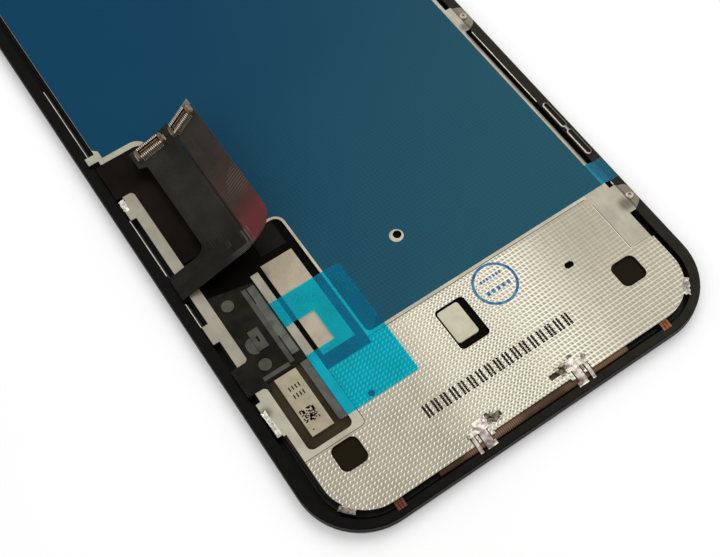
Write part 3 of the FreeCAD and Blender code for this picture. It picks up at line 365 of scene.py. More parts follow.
def pressed_steel(name):
    """Steel back: dimpled below the fold line and smooth in the bands beside the recess."""
    paint = Paint(name, 0.42, 0.35, 0.3)
    pattern = dimpled_area(paint)
    raised_with_highlight, sunk_shade = dimple_highlight_and_shade(paint)
    wear = paint.cloud(0.25, 4.0)
    calm = paint.every(
        paint.ramp(paint.x, *CALM_SPAN_X), paint.ramp(paint.from_chin, *CALM_SPAN_FROM_CHIN)
    )
    shown = paint.every(paint.ramp(paint.x, *FADE_SPAN, 1.0, 0.5), paint.inverse(paint.every(calm, 0.7)))

    upper_left = paint.every(
        paint.below(paint.x, POCKET_LINE_X), paint.between(paint.from_chin, *UPPER_LEFT_SPAN, 2.0)
    )
    dull = paint.either(upper_left, paint.every(paint.above(paint.x, SIDE_LINE_X), 0.7))
    plain = paint.shades(wear, (152, 148, 131), (172, 167, 150))
    plain = paint.blend(dull, plain, paint.shades(wear, (132, 127, 112), (148, 143, 127)))

    bright = paint.every(
        paint.ramp(paint.x, *BRIGHT_FROM),
        paint.ramp(paint.x, *BRIGHT_TO, 1.0, 0.15),
        paint.inverse(calm),
    )
    ground = paint.shades(wear, (152, 145, 127), (162, 155, 138))
    ground = paint.over(paint.ramp(paint.x, *DULLER_SPAN), ground, (143, 137, 119))
    ground = paint.over(bright, ground, (192, 185, 166))
    # Painted shade in the hollows of the dimples
    ground = paint.over(paint.every(sunk_shade, shown), ground, (112, 104, 86))
    # Painted highlights on the raised dimples: glints at the left, a net of lines at the right
    dotted = paint.over(paint.every(raised_with_highlight, shown), ground, (250, 246, 230))

    steel = paint.blend(pattern, plain, dotted)
    # Painted shade where the steel lies below its top: in the pressed lines and down the plate's sides
    steel = paint.over(paint.below(paint.z, PLATE_TOP - 0.03, 0.015), steel, (104, 97, 80))
    steel = side_fold_light(paint, steel)
    # Painted shade on the turned edge between the ears and in the spots, darkening the steel
    turned_edge_shade = paint.every(
        paint.above(paint.x, TURNED_EDGE_X), paint.between(paint.from_chin, *TURNED_EDGE_SPAN, 0.3)
    )
    steel_shade = paint.either(*(paint.spot(*place) for place in STEEL_SHADE_SPOTS), turned_edge_shade)
    paint.colour(paint.over(paint.every(steel_shade, 0.75), steel, (72, 62, 46)))
    brushed = paint.noise(3.0, stretch=(1.0, 0.15, 1.0))
    paint.gloss(0.36, 0.5, brushed)
    paint.relief(paint.total(paint.every(raised_with_highlight, shown, pattern), paint.every(brushed, 0.06)), 0.06)
    return paint.material


# Protective film: direction and span of its slanting painted reflection, slant and pitch of its grain,
# and the distances from the chin over which the dimples under it fade
FILM_SLANT = (0.55, -0.6)
FILM_REFLECTION_SPAN = (-24.0, 44.0)
FILM_GRAIN_SLANT = 0.35
FILM_GRAIN_PITCH = 0.62
FILM_FADE_SPAN = (28.0, 95.0)


def protective_film(name):
    """Deep blue film, painted paler towards the lower right as a reflection of the plate under it: the
    dimples under it show faintly, with a fine slanting grain.
    """
    paint = Paint(name, 0.35, 0.0, 0.03)
    across, along = FILM_SLANT
    # Painted reflection of the plate under the film: deep navy at the upper left, paler teal towards the
    # lower right, with random patches
    slant = paint.total(paint.every(paint.x, across), paint.every(paint.y, along))
    wash = paint.math("SUBTRACT", paint.noise(0.035), 0.5)
    share = paint.total(paint.ramp(slant, *FILM_REFLECTION_SPAN), paint.every(wash, 0.4))
    body = paint.shades(share, (12, 62, 90), (31, 79, 94))
    grain = paint.total(paint.x, paint.every(paint.y, FILM_GRAIN_SLANT))
    lines = paint.stripes(grain, FILM_GRAIN_PITCH)
    weave = paint.total(paint.every(paint.dimples(0.05, 0.5), 0.5), paint.every(lines, 0.25))
    near = paint.every(weave, paint.ramp(paint.from_chin, *FILM_FADE_SPAN, 1.0, 0.12))
    paint.colour(paint.over(paint.every(near, 0.35), body, (44, 100, 118)))
    paint.relief(near, 0.006)
    return paint.material


def clear_film(name, tint, body, cover):
    """See-through coloured film: it tints what lies under it and adds a little of its own colour."""
    paint = Paint(name, 0.18, 0.0, 0.15)
    ripple = paint.noise(0.4, stretch=(1.0, 0.4, 1.0))
    paler = [part * 1.12 for part in body]
    paint.colour(paint.shades(paint.ramp(ripple, *CLOUD_SPAN), body, paler))
    paint.relief(ripple, 0.02)
    tree = paint.tree
    clear = tree.nodes.new("ShaderNodeBsdfTransparent")
    clear.inputs["Color"].default_value = (*tint, 1.0)
    mix = tree.nodes.new("ShaderNodeMixShader")
    mix.inputs["Fac"].default_value = cover
    tree.links.new(clear.outputs[0], mix.inputs[1])
    tree.links.new(paint.shader.outputs[0], mix.inputs[2])
    tree.links.new(mix.outputs[0], tree.nodes["Material Output"].inputs["Surface"])
    return paint.material


# Main circuit: the inner corner between its band and its arms, the line between the arms, the half
# width of the painted shade along it and where that shade ends, the start of the paler tip, and two spots
# where the traces show
FLEX_CORNER_X = -27.25
FLEX_CORNER_FROM_CHIN = 52.5
FLEX_SLIT_X = -20.8
FLEX_SLIT_SHADE_HALF = 0.16
FLEX_SLIT_SHADE_END = 51.5
FLEX_TIP_FROM_CHIN = 74.0
FLEX_TURN_SPOT = (-21.4, 49.3, 2.7, 0.5)
FLEX_FAR_SPOT = (-17.4, 58.0, 2.6, 0.6)

# Pitches of its traces, of their groups and of the lines on the far arm, and the share of a
# distance along X that counts, so that the traces lie wider apart there
TRACE_PITCH = 0.3
TRACE_GROUP_PITCH = 2.9
FAR_LINE_PITCH = 0.5
TRACE_X_SHARE = 0.62

# Distances from the chin over which the band turns to the arm and the mauve foot of the far arm
# to grey, where the far arm starts, and where the painted reddish reflection on it starts and fades out
BAND_SPAN = (51.0, 58.0)
FAR_GREY_SPAN = (55.0, 68.0)
FAR_ARM_FROM_CHIN = 52.0
RED_REFLECTION_START = 47.9
RED_REFLECTION_FADE = (50.8, 56.0)


def circuit_traces(paint):
    """Fine traces that turn from the band into the arms, and a patch of lines on the far arm."""
    right = paint.either(paint.math("SUBTRACT", paint.x, FLEX_CORNER_X), 0.0)
    down = paint.either(paint.math("SUBTRACT", FLEX_CORNER_FROM_CHIN, paint.from_chin), 0.0)
    away = paint.either(paint.every(right, TRACE_X_SHARE), down)
    groups = paint.stripes(away, TRACE_GROUP_PITCH, 0.55, 0.1)
    lines = paint.every(paint.stripes(away, TRACE_PITCH, 0.5, 0.4), groups)
    broken = paint.cloud(0.25, 2.0, (0.42, 0.55))
    turn = paint.every(paint.spot(*FLEX_TURN_SPOT), broken)
    trace = paint.every(lines, paint.either(paint.every(broken, 0.1), turn))
    far_lines = paint.stripes(paint.y, FAR_LINE_PITCH, 0.4, 0.3)
    far_lines = paint.every(far_lines, paint.spot(*FLEX_FAR_SPOT), broken)
    return paint.either(trace, paint.every(far_lines, 0.7))


def flex_circuit(name):
    """Dark circuit whose far arm is browner, with a painted reddish reflection at its foot and painted
    shade along the slit between the arms.
    """
    paint = Paint(name, 0.45, 0.0, 0.06)
    trace = circuit_traces(paint)
    cloud = paint.cloud(0.2)
    arm = paint.shades(cloud, (33, 31, 26), (45, 43, 38))
    band = paint.ramp(paint.from_chin, *BAND_SPAN, 1.0, 0.0)
    near = paint.blend(band, arm, paint.shades(cloud, (23, 21, 16), (33, 31, 26)))
    mauve = paint.shades(cloud, (56, 44, 37), (70, 52, 45))
    grey = paint.shades(cloud, (44, 40, 36), (56, 50, 45))
    far = paint.blend(paint.ramp(paint.from_chin, *FAR_GREY_SPAN), mauve, grey)
    far_arm = paint.every(
        paint.above(paint.x, FLEX_SLIT_X, 0.1), paint.above(paint.from_chin, FAR_ARM_FROM_CHIN, 3.0)
    )
    body = paint.blend(far_arm, near, far)
    # Painted reflection: a reddish field at the foot of the far arm
    red = paint.every(
        paint.above(paint.x, FLEX_SLIT_X + 0.1, 0.25),
        paint.ramp(paint.from_chin, *RED_REFLECTION_FADE, 1.0, 0.0),
        paint.above(paint.from_chin, RED_REFLECTION_START, 0.5),
    )
    body = paint.over(paint.every(red, 0.85), body, (104, 50, 52))
    body = paint.over(paint.every(trace, 0.24), body, (150, 146, 134))
    # Painted shade along both sides of the slit between the arms, so that the gap looks dark
    slit_shade = paint.every(
        paint.between(paint.x, FLEX_SLIT_X - FLEX_SLIT_SHADE_HALF, FLEX_SLIT_X + FLEX_SLIT_SHADE_HALF, 0.05),
        paint.above(paint.from_chin, FLEX_SLIT_SHADE_END, 0.5),
    )
    body = paint.over(paint.every(slit_shade, 0.7), body, (16, 14, 12))
    tip = paint.every(
        paint.above(paint.x, FLEX_SLIT_X), paint.above(paint.from_chin, FLEX_TIP_FROM_CHIN, 0.12)
    )
    paint.colour(paint.over(paint.every(tip, 0.7), body, (140, 142, 136)))
    paint.relief(trace, 0.012)
    return paint.material


# Pitch of the traces of the folded driver film
DRIVER_TRACE_PITCH = 0.34


def driver_film(name):
    """Folded driver film: brown with fine copper traces across it."""
    paint = Paint(name, 0.42, 0.0, 0.12)
    patchy = paint.noise(0.12, 2.0)
    lines = paint.stripes(paint.x, DRIVER_TRACE_PITCH, 0.45, 0.3)
    lines = paint.every(lines, paint.ramp(patchy, 0.35, 0.6))
    body = paint.shades(paint.ramp(patchy, 0.4, 0.7), (62, 44, 32), (112, 84, 62))
    paint.colour(paint.over(paint.every(lines, 0.7), body, (146, 116, 86)))
    paint.relief(lines, 0.02)
    return paint.material


# Driver tape: the levels between which it rises over the parts, and the left edge of its clear margin
TAPE_RISE = (2.97, 3.03)
TAPE_MARGIN_X = -25.3


def shield_tape(name):
    """Dark shielding tape, paler where parts stand under it, with a grey clear margin at its side."""
    paint = Paint(name, 0.42, 0.0, 0.04)
    cloud = paint.cloud(0.35, 4.0, (0.35, 0.65))
    low = paint.shades(cloud, (17, 16, 11), (31, 28, 21))
    high = paint.shades(cloud, (68, 67, 60), (84, 83, 75))
    margin = paint.shades(cloud, (78, 80, 72), (100, 104, 96))
    high = paint.blend(paint.above(paint.x, TAPE_MARGIN_X, 0.1), high, margin)
    paint.colour(paint.blend(paint.ramp(paint.z, *TAPE_RISE), low, high))
    paint.relief(paint.noise(1.2, 2.0), 0.015)
    return paint.material


# Distances from the chin over which the lower pocket turns dark
POCKET_FADE_SPAN = (26.0, 40.0)


def recess_floor(name):
    """Insulating film on the tray: almost black in the well, dull olive in the lower pocket."""
    paint = Paint(name, 0.5, 0.0, 0.02)
    cloud = paint.cloud(0.12)
    deep = paint.shades(cloud, (2, 2, 0), (10, 8, 4))
    deep = paint.over(paint.below(paint.from_chin, POCKET_LINE_FROM_CHIN), deep, (30, 26, 15))
    lower_pocket = paint.every(
        paint.ramp(paint.from_chin, *POCKET_FADE_SPAN, 1.0, 0.0),
        paint.above(paint.from_chin, POCKET_LINE_FROM_CHIN),
        paint.below(paint.x, POCKET_LINE_X),
    )
    paint.colour(paint.blend(lower_pocket, deep, paint.shades(cloud, (44, 38, 26), (62, 55, 40))))
    paint.relief(paint.noise(0.8), 0.01)
    return paint.material


# Pitch of the pad's weave, and the darker patch at its corner: X, distance from the chin, radius
# and softness
PAD_WEAVE_PITCH = 0.3
PAD_DARK_PATCH = (-20.6, 44.6, 1.6, 0.8)


def soft_pad(name):
    """Pale conductive fabric pad with a woven grain and a darker patch at one corner."""
    paint = Paint(name, 0.7, 0.0, 0.3)
    patchy = paint.noise(0.3)
    body = paint.shades(paint.ramp(patchy, *CLOUD_SPAN), (168, 155, 134), (184, 171, 150))
    dark_patch = paint.every(paint.spot(*PAD_DARK_PATCH), paint.ramp(patchy, 0.35, 0.6))
    paint.colour(paint.over(paint.every(dark_patch, 0.7), body, (78, 72, 64)))
    weave = paint.total(
        paint.stripes(paint.x, PAD_WEAVE_PITCH), paint.stripes(paint.y, PAD_WEAVE_PITCH)
    )
    paint.relief(weave, 0.01)
    return paint.material


def copper_pad(name):
    """Bare copper pads at the chin: the right one bright, the left one dark red under its lacquer."""
    paint = Paint(name, 0.4, 0.1, 0.2)
    cloud = paint.cloud(1.5)
    bright = paint.shades(cloud, (124, 71, 33), (150, 90, 45))
    dark = paint.shades(cloud, (80, 40, 27), (106, 55, 37))
    paint.colour(paint.blend(paint.above(paint.x, 0.0), dark, bright))
    paint.relief(cloud, 0.02)
    return paint.material


def black_glass(name):
    """Front glass over a dark panel."""
    paint = Paint(name, 0.06, 0.0, 0.5)
    paint.colour(paint.shades(paint.noise(0.05, 2.0), (12, 12, 14), (20, 20, 22)))
    paint.shader.inputs["Coat Weight"].default_value = 0.4
    paint.shader.inputs["Coat Roughness"].default_value = 0.03
    return paint.material


# Span of X over which the painted sheen on the top of the moulded frame grows paler
FRAME_SHEEN_SPAN = (-36.0, 36.0)


def frame_resin(name):
    """Moulded frame: almost black, with a painted sheen on its top, a little paler and warmer towards the
    right.
    """
    paint = Paint(name, 0.42, 0.0, 0.05)
    cloud = paint.cloud(0.6, 4.0)
    dark = paint.shades(cloud, (3, 3, 0), (8, 7, 3))
    pale = paint.shades(cloud, (30, 28, 22), (37, 35, 28))
    # Painted sheen on the top of the frame, paler and warmer towards the right
    share = paint.every(
        paint.ramp(paint.x, *FRAME_SHEEN_SPAN), paint.above(paint.z, FRAME_TOP - 0.4, 0.2)
    )
    paint.colour(paint.blend(share, dark, pale))
    fine = paint.noise(5.0, 2.0)
    paint.gloss(0.36, 0.48, fine)
    paint.relief(fine, 0.004)
    return paint.material


def rail_steel(name):
    """Rails: bright along the top edge and painted with shade below it, where they stand in the groove.
    """
    paint = Paint(name, 0.35, 0.4, 0.3)
    cloud = paint.cloud(0.6, 4.0)
    top = paint.shades(cloud, (158, 150, 136), (196, 188, 174))
    # Painted shade on the rails below their top edge
    paint.colour(paint.blend(paint.above(paint.z, FRAME_TOP + 0.03, 0.06), linear(20, 18, 14), top))
    paint.relief(cloud, 0.01)
    return paint.material


# Span of X between the inner and the outer wires of the spring clip
CLIP_SPAN = (34.85, 35.5)


def clip_steel(name):
    """Spring clip: the inner wires of its loops catch the light and the outer ones are dim."""
    paint = Paint(name, 0.35, 0.4, 0.3)
    cloud = paint.cloud(1.2)
    inner = paint.shades(cloud, (150, 142, 126), (178, 170, 154))
    paint.colour(paint.over(paint.ramp(paint.x, *CLIP_SPAN), inner, (62, 58, 50)))
    paint.relief(cloud, 0.01)
    return paint.material


# Painted materials, each by the function that makes it
PAINTED = {
    "pressed_steel": pressed_steel,
    "protective_film": protective_film,
    "flex_circuit": flex_circuit,
    "driver_film": driver_film,
    "shield_tape": shield_tape,
    "recess_floor": recess_floor,
    "soft_pad": soft_pad,
    "copper_pad": copper_pad,
    "black_glass": black_glass,
    "frame_resin": frame_resin,
    "rail_steel": rail_steel,
    "clip_steel": clip_steel,
}

# Clear films: tint of what shows through, own screen colour, and how much of it covers
CLEAR_FILMS = {
    "cyan_film": ((0.13, 0.97, 1.0), (30, 166, 214), 0.15),
    "edge_film": ((0.2, 0.93, 1.0), (46, 134, 162), 0.34),
}

# Mottled materials: dark and light screen colour, roughness, and what isn't as usual
MOTTLED = {
    "white_foil": ((176, 174, 160), (238, 236, 226), 0.3, {"metallic": 0.4, "scale": 2.5, "depth": 0.04}),
    "torn_steel": ((30, 24, 16), (150, 140, 120), 0.4, {"metallic": 0.5, "scale": 1.6, "depth": 0.05}),
    "bright_steel": ((146, 137, 129), (186, 177, 168), 0.28, {"metallic": 0.6, "scale": 1.2}),
    "chin_clip": ((104, 92, 82), (206, 196, 186), 0.28, {"metallic": 0.6, "scale": 1.3}),
    "screw_steel": ((104, 94, 80), (160, 149, 130), 0.35, {"metallic": 0.5, "scale": 1.5}),
    "shield_can": ((120, 110, 88), (140, 130, 106), 0.4, {"metallic": 0.6}),
    "contact_foot": ((120, 114, 104), (166, 160, 148), 0.35, {"metallic": 0.5, "scale": 2.0}),
    "tinned_contact": ((200, 196, 188), (230, 228, 222), 0.3, {"metallic": 0.8, "scale": 2.0}),
    "gilt_blade": (
        (176, 148, 104), (222, 202, 160), 0.35, {"metallic": 0.3, "specular": 0.3, "scale": 3.0}
    ),
    "connector_resin": ((74, 58, 38), (112, 92, 62), 0.45, {"specular": 0.2, "scale": 1.5}),
    "connector_lining": ((34, 16, 8), (60, 30, 16), 0.5, {"specular": 0.2, "scale": 2.0}),
    "bed_film": ((8, 6, 3), (24, 18, 13), 0.45, {"specular": 0.03, "scale": 0.15, "depth": 0.01}),
    "tail_film": ((12, 11, 8), (22, 19, 15), 0.42, {"specular": 0.05}),
    "label_paper": ((150, 139, 112), (168, 157, 131), 0.6, {"scale": 0.5}),
    "foam_strip": ((74, 73, 69), (92, 91, 87), 0.6, {"specular": 0.15, "grain": 3.0, "depth": 0.02}),
    "cream_pad": ((190, 185, 158), (208, 203, 178), 0.55, {"specular": 0.2, "scale": 0.4, "depth": 0.02}),
    "inner_layer": ((190, 192, 194), (206, 208, 210), 0.4, {}),
    "inner_dark": ((16, 15, 13), (26, 25, 22), 0.4, {"specular": 0.1}),
    "circuit_board": ((28, 44, 28), (38, 58, 36), 0.5, {}),
    "black_ink": ((3, 2, 1), (10, 8, 6), 0.6, {"specular": 0.01, "scale": 2.0}),
    "blue_ink": ((22, 84, 136), (80, 138, 170), 0.55, {"specular": 0.1, "scale": 1.2}),
    "floor_paper": ((246, 246, 246), (250, 250, 250), 0.9, {"specular": 0.0, "scale": 0.01}),
}


def make_materials():
    """Every material by its name."""
    materials = {name: make(name) for name, make in PAINTED.items()}
    for name, look in CLEAR_FILMS.items():
        materials[name] = clear_film(name, *look)
    for name, (dark, light, roughness, unusual) in MOTTLED.items():
        materials[name] = mottled(name, dark, light, roughness, **unusual)
    return materials


# Which material each node of the model takes
NODE_MATERIALS = {
    "cover_glass": "black_glass",
    "border_mask": "inner_dark",
    "optical_adhesive": "inner_layer",
    "front_polarizer": "inner_dark",
    "color_filter_glass": "inner_layer",
    "tft_glass": "inner_dark",
    "rear_polarizer": "inner_dark",
    "upper_prism_sheet": "inner_layer",
    "lower_prism_sheet": "inner_layer",
    "diffuser_sheet": "inner_layer",
    "light_guide": "inner_layer",
    "reflector_sheet": "inner_layer",
    "leds": "cream_pad",
    "led_flex": "driver_film",
    "backlight_frame": "frame_resin",
    "backlight_tray": "inner_dark",
    "insulation_film": "recess_floor",
    "display_frame": "frame_resin",
    "left_rail": "rail_steel",
    "right_rail": "rail_steel",
    "side_clip": "clip_steel",
    "back_plate": "pressed_steel",
    "blue_film": "protective_film",
    "pull_film": "cyan_film",
    "edge_tape": "edge_film",
    "bed_film": "bed_film",
    "controller_shield": "shield_can",
    "controller_label": "label_paper",
    "gasket_strip": "foam_strip",
    "thermal_pad": "soft_pad",
    "touch_tail": "tail_film",
    "window_pad": "cream_pad",
    "driver_board": "circuit_board",
    "board_components": "inner_dark",
    "driver_tape": "shield_tape",
    "main_flex": "flex_circuit",
    "stiffener_left": "bright_steel",
    "stiffener_right": "bright_steel",
    "connector_left": "connector_resin",
    "connector_right": "connector_resin",
    "contacts_left": "contact_foot",
    "contacts_right": "contact_foot",
    "driver_film": "driver_film",
    "driver_chip": "inner_dark",
    "chin_clip_left": "chin_clip",
    "chin_clip_right": "chin_clip",
    "ground_pads": "copper_pad",
}


def dress_nodes(materials):
    """Give every node of the model its material."""
    for name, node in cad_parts.items():
        node.data.materials.clear()
        node.data.materials.append(materials[NODE_MATERIALS[name]])


def new_object(name, bm, material):
    """Make a mesh object from a bmesh in millimetres."""
    mesh = bpy.data.meshes.new(name)
    bmesh.ops.scale(bm, vec=(MM, MM, MM), verts=bm.verts)
    bm.to_mesh(mesh)
    bm.free()
    thing = bpy.data.objects.new(name, mesh)
    bpy.context.scene.collection.objects.link(thing)
    mesh.materials.append(material)
    return thing


def new_piece(name, bm, material):
    """Make a piece that rides on the module."""
    piece = new_object(name, bm, material)
    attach(piece, "root")
    return piece


def flat_quad(bm, x, y, z, width, height):
    """Add one flat rectangle about its centre."""
    bm.faces.new([bm.verts.new((x + dx * width / 2, y + dy * height / 2, z)) for dx, dy in CORNERS])


# Lobes of a screw's recess
LOBE_COUNT = 6


def oval_ring(bm, x, y, z, across, along, count, lobe=0.0):
    """Add the points of an oval; with a lobe depth it gets lobes."""
    ring = []
    for index in range(count):
        turn = 2 * math.pi * index / count
        reach = 1 + lobe * math.cos(LOBE_COUNT * turn)
        place = (x + across * reach * math.cos(turn), y + along * reach * math.sin(turn), z)
        ring.append(bm.verts.new(place))
    return ring


def join_rings(bm, rings):
    """Add the faces between rings, from the inmost to the outmost."""
    for inner, outer in zip(rings, rings[1:]):
        for index in range(len(inner)):
            following = (index + 1) % len(inner)
            bm.faces.new((inner[index], outer[index], outer[following], inner[following]))


# Distance under which the points of a ring are made one
MERGE_DISTANCE = 1e-5

# Print on the steel: a row of plain marks, each two columns of small dots
PRINT_LEVEL = PLATE_TOP + 0.008
MARK_COUNT = 17
MARK_ENDS = (-13.4, 12.9)
MARK_ROWS = 7
MARK_HEIGHTS = (9.95, 11.85)
COLUMN_OFFSETS = (-0.31, 0.31)
DOT_WIDTH = 0.3915
DOT_HEIGHT = 0.29
DOT_JITTER = 0.02
PRINT_SEED = 11

# A stamped ring, with bands of dashes in it: offset along Y, number, width and height, and
# the pitch of the dashes as a multiple of their width
RING_PLACE = (7.55, row_y(22.2))
RING_RADII = (3.3, 3.76)
RING_POINTS = 64
RING_BANDS = ((1.3, 7, 0.34, 0.544), (-0.9, 5, 0.55, 0.715))
DASH_PITCH = 1.75


def print_row(ink):
    """Row of plain dotted bars printed on the steel."""
    bm = bmesh.new()
    chooser = random.Random(PRINT_SEED)
    left, right = MARK_ENDS
    low, high = MARK_HEIGHTS
    for mark in range(MARK_COUNT):
        for offset in COLUMN_OFFSETS:
            x = left + mark * (right - left) / (MARK_COUNT - 1) + offset
            for row in range(MARK_ROWS):
                y = row_y(low + (high - low) * row / (MARK_ROWS - 1))
                jitter = chooser.uniform(-DOT_JITTER, DOT_JITTER)
                flat_quad(bm, x + jitter, y, PRINT_LEVEL, DOT_WIDTH, DOT_HEIGHT)
    new_piece("printed_bars", bm, ink)


def print_ring(ink):
    """Stamped ring on the steel with two plain dotted bands in it."""
    bm = bmesh.new()
    x, y = RING_PLACE
    rings = [oval_ring(bm, x, y, PRINT_LEVEL, radius, radius, RING_POINTS) for radius in RING_RADII]
    join_rings(bm, rings)
    for offset, count, width, height in RING_BANDS:
        for index in range(count):
            dash_x = x + (index - (count - 1) / 2) * width * DASH_PITCH
            flat_quad(bm, dash_x, y + offset, PRINT_LEVEL, width, height)
    new_piece("stamped_ring", bm, ink)


# Marks on the controller label: a checker block, a dot, and two rows of bars
LABEL_LIFT = 0.008
CHECKER_X = -28.2
CHECKER_FROM_CHIN = 20.6
CHECKER_SIZE = 2.4
CHECKER_CELLS = 12
CHECKER_SHARE = 0.5
CHECKER_SEED = 5
LABEL_DOT = (-29.0, 18.2, 0.22)
BAR_COUNT = 4
BAR_X = -28.6
BAR_PITCH = 0.55
BAR_ROWS = (25.6, 24.2)
BAR_SIZE = (0.2, 0.75)


def label_marks(ink):
    """Checker of random cells, a dot and plain bars on the controller label."""
    bm = bmesh.new()
    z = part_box("controller_label")[1].z / MM + LABEL_LIFT
    chooser = random.Random(CHECKER_SEED)
    cell = CHECKER_SIZE / CHECKER_CELLS
    left = CHECKER_X - CHECKER_SIZE / 2
    bottom = row_y(CHECKER_FROM_CHIN) - CHECKER_SIZE / 2
    for row in range(CHECKER_CELLS):
        for column in range(CHECKER_CELLS):
            if chooser.random() < CHECKER_SHARE:
                flat_quad(bm, left + (column + 0.5) * cell, bottom + (row + 0.5) * cell, z, cell, cell)
    dot_x, dot_from_chin, dot_size = LABEL_DOT
    flat_quad(bm, dot_x, row_y(dot_from_chin), z, dot_size, dot_size)
    for index in range(BAR_COUNT):
        for from_chin in BAR_ROWS:
            flat_quad(bm, BAR_X + BAR_PITCH * index, row_y(from_chin), z, *BAR_SIZE)
    new_piece("label_marks", bm, ink)


# Screws in the ears: their places, and the rings of a head as radius, height and lobe depth
SCREWS = {"ear_screw_low": (35.2, 22.7), "ear_screw_high": (35.2, 68.5)}
SCREW_RINGS = (
    (0.0, 0.07, 0.0),
    (0.26, 0.08, 0.16),
    (0.3, 0.26, 0.16),
    (0.62, 0.27, 0.0),
    (0.74, 0.17, 0.0),
    (0.76, 0.0, 0.0),
)
SCREW_POINTS = 36


def screw_head(name, x, from_chin, material):
    """Small flat screw head with a lobed recess, seated on an ear of the steel back."""
    bm = bmesh.new()
    seat = FRAME_TOP + PLATE_THICKNESS
    rings = [
        oval_ring(bm, x, row_y(from_chin), seat + height, radius, radius, SCREW_POINTS, lobe)
        for radius, height, lobe in SCREW_RINGS
    ]
    join_rings(bm, rings)
    bmesh.ops.remove_doubles(bm, verts=bm.verts, dist=MERGE_DISTANCE)
    new_piece(name, bm, material)


# Crumpled flakes of metal: material, X, distance from the chin, width, length, level, height,
# random seed and turn
FLAKES = {
    "foil_low": ("white_foil", -33.75, 22.6, 0.8, 4.2, 2.88, 0.35, 3, 0.05),
    "foil_high": ("white_foil", -33.9, 68.8, 0.95, 2.5, 2.88, 0.35, 8, 0.0),
    "foil_corner_right": ("bright_steel", 31.5, 4.9, 1.3, 2.9, 2.8, 0.35, 21, -0.62),
    "foil_corner_left": ("torn_steel", -31.7, 5.2, 0.9, 2.6, 2.86, 0.22, 17, 0.75),
    "torn_right": ("torn_steel", 7.4, 4.8, 2.6, 1.8, 2.84, 0.45, 5, 0.12),
    "torn_left": ("torn_steel", -6.0, 4.7, 2.4, 1.9, 2.84, 0.45, 12, -0.2),
}
FLAKE_COLUMNS = 7
FLAKE_ROWS = 12
FLAKE_THICKNESS = 0.06

# How far the points of a flake wander, as shares of its size, and the share of its height that
# its rim can have
FLAKE_WANDER = (-0.16, 0.12)
FLAKE_RIM = 0.25


def crumpled_flake(name, material, x, from_chin, width, length, level, height, seed, angle):
    """Small crumpled flake of metal, left where a tab was bent or torn."""
    bm = bmesh.new()
    chooser = random.Random(seed)
    turn = Matrix.Rotation(angle, 2)
    grid = []
    for row in range(FLAKE_ROWS + 1):
        line = []
        for column in range(FLAKE_COLUMNS + 1):
            u, v = column / FLAKE_COLUMNS - 0.5, row / FLAKE_ROWS - 0.5
            edge = min(0.5 - abs(u), 0.5 - abs(v)) * 2
            ragged = 1 + chooser.uniform(*FLAKE_WANDER)
            place = turn @ Vector((u * width * ragged, v * length * ragged))
            lift = height * chooser.random() * (FLAKE_RIM + edge)
            line.append(bm.verts.new((x + place.x, row_y(from_chin) + place.y, level + lift)))
        grid.append(line)
    for near, far in zip(grid, grid[1:]):
        for column in range(FLAKE_COLUMNS):
            bm.faces.new((near[column], near[column + 1], far[column + 1], far[column]))
    piece = new_piece(name, bm, material)
    piece.modifiers.new("thickness", "SOLIDIFY").thickness = FLAKE_THICKNESS * MM


# Small pressed bumps beside the chin clips: X and the distance from the chin edge
PRESSED_SPOTS = ((9.15, 5.85), (11.0, 4.75), (-10.75, 4.15))
SPOT_ACROSS = 0.46
SPOT_ALONG = 0.34
SPOT_HEIGHT = 0.2
SPOT_SINK = 0.02
SPOT_POINTS = 20
SPOT_LEVELS = 5


def pressed_spot(name, x, from_chin, material):
    """Low oval bump pressed in the steel beside a clip."""
    bm = bmesh.new()
    rings = []
    for level in range(SPOT_LEVELS + 1):
        rise = math.pi / 2 * level / SPOT_LEVELS
        z = PLATE_TOP - SPOT_SINK + SPOT_HEIGHT * math.sin(rise)
        across, along = SPOT_ACROSS * math.cos(rise), SPOT_ALONG * math.cos(rise)
        rings.append(oval_ring(bm, x, row_y(from_chin), z, across, along, SPOT_POINTS))
    join_rings(bm, rings[::-1])
    bmesh.ops.remove_doubles(bm, verts=bm.verts, dist=MERGE_DISTANCE)
    new_piece(name, bm, material)


# The two connectors: X, distance from the chin and level of the middle of the foot, and slope
CONNECTORS = {
    "left": (-25.05, 74.3, 5.68, math.atan2(3.55, 12.52)),
    "right": (-18.7, 73.4, 9.41, math.atan2(4.9, 5.4)),
}
CIRCUIT_THICKNESS = 0.15
TROUGH_LENGTH = 4.2
TROUGH_WIDTH = 1.18
TROUGH_FLOOR = 0.25
HOUSING_HEIGHT = 0.8
RIDGE_LENGTH = 3.8
RIDGE_WIDTH = 0.36
RIDGE_TOP = 0.67

# Lining of the trough and the ridge: its thickness, its distance from them, how far it stays
# below the rim and reaches down the ridge, and how far it stands over the ridge
LINING_THICKNESS = 0.03
LINING_CLEARANCE = 0.02
LINING_DEPTH = 0.12
LINING_CAP = 0.015

# Contacts: gilt blades across the ridge, a little closer together, and a tinned comb on the rim
CONTACT_COUNT = 13
CONTACT_PITCH = 0.33
BLADE_SPREAD = 0.86
BLADE_WIDTH = 0.15
BLADE_REACH = 0.3
BLADE_DROP = 0.05
COMB_OFFSET = 0.78
COMB_WIDTH = 0.13
COMB_LENGTH = 0.36
COMB_SPAN = (HOUSING_HEIGHT - 0.02, HOUSING_HEIGHT + 0.03)

# Faces of a block, by its corners: the lower four and then the upper four
BLOCK_FACES = ((0, 3, 2, 1), (4, 5, 6, 7), (0, 1, 5, 4), (1, 2, 6, 5), (2, 3, 7, 6), (3, 0, 4, 7))


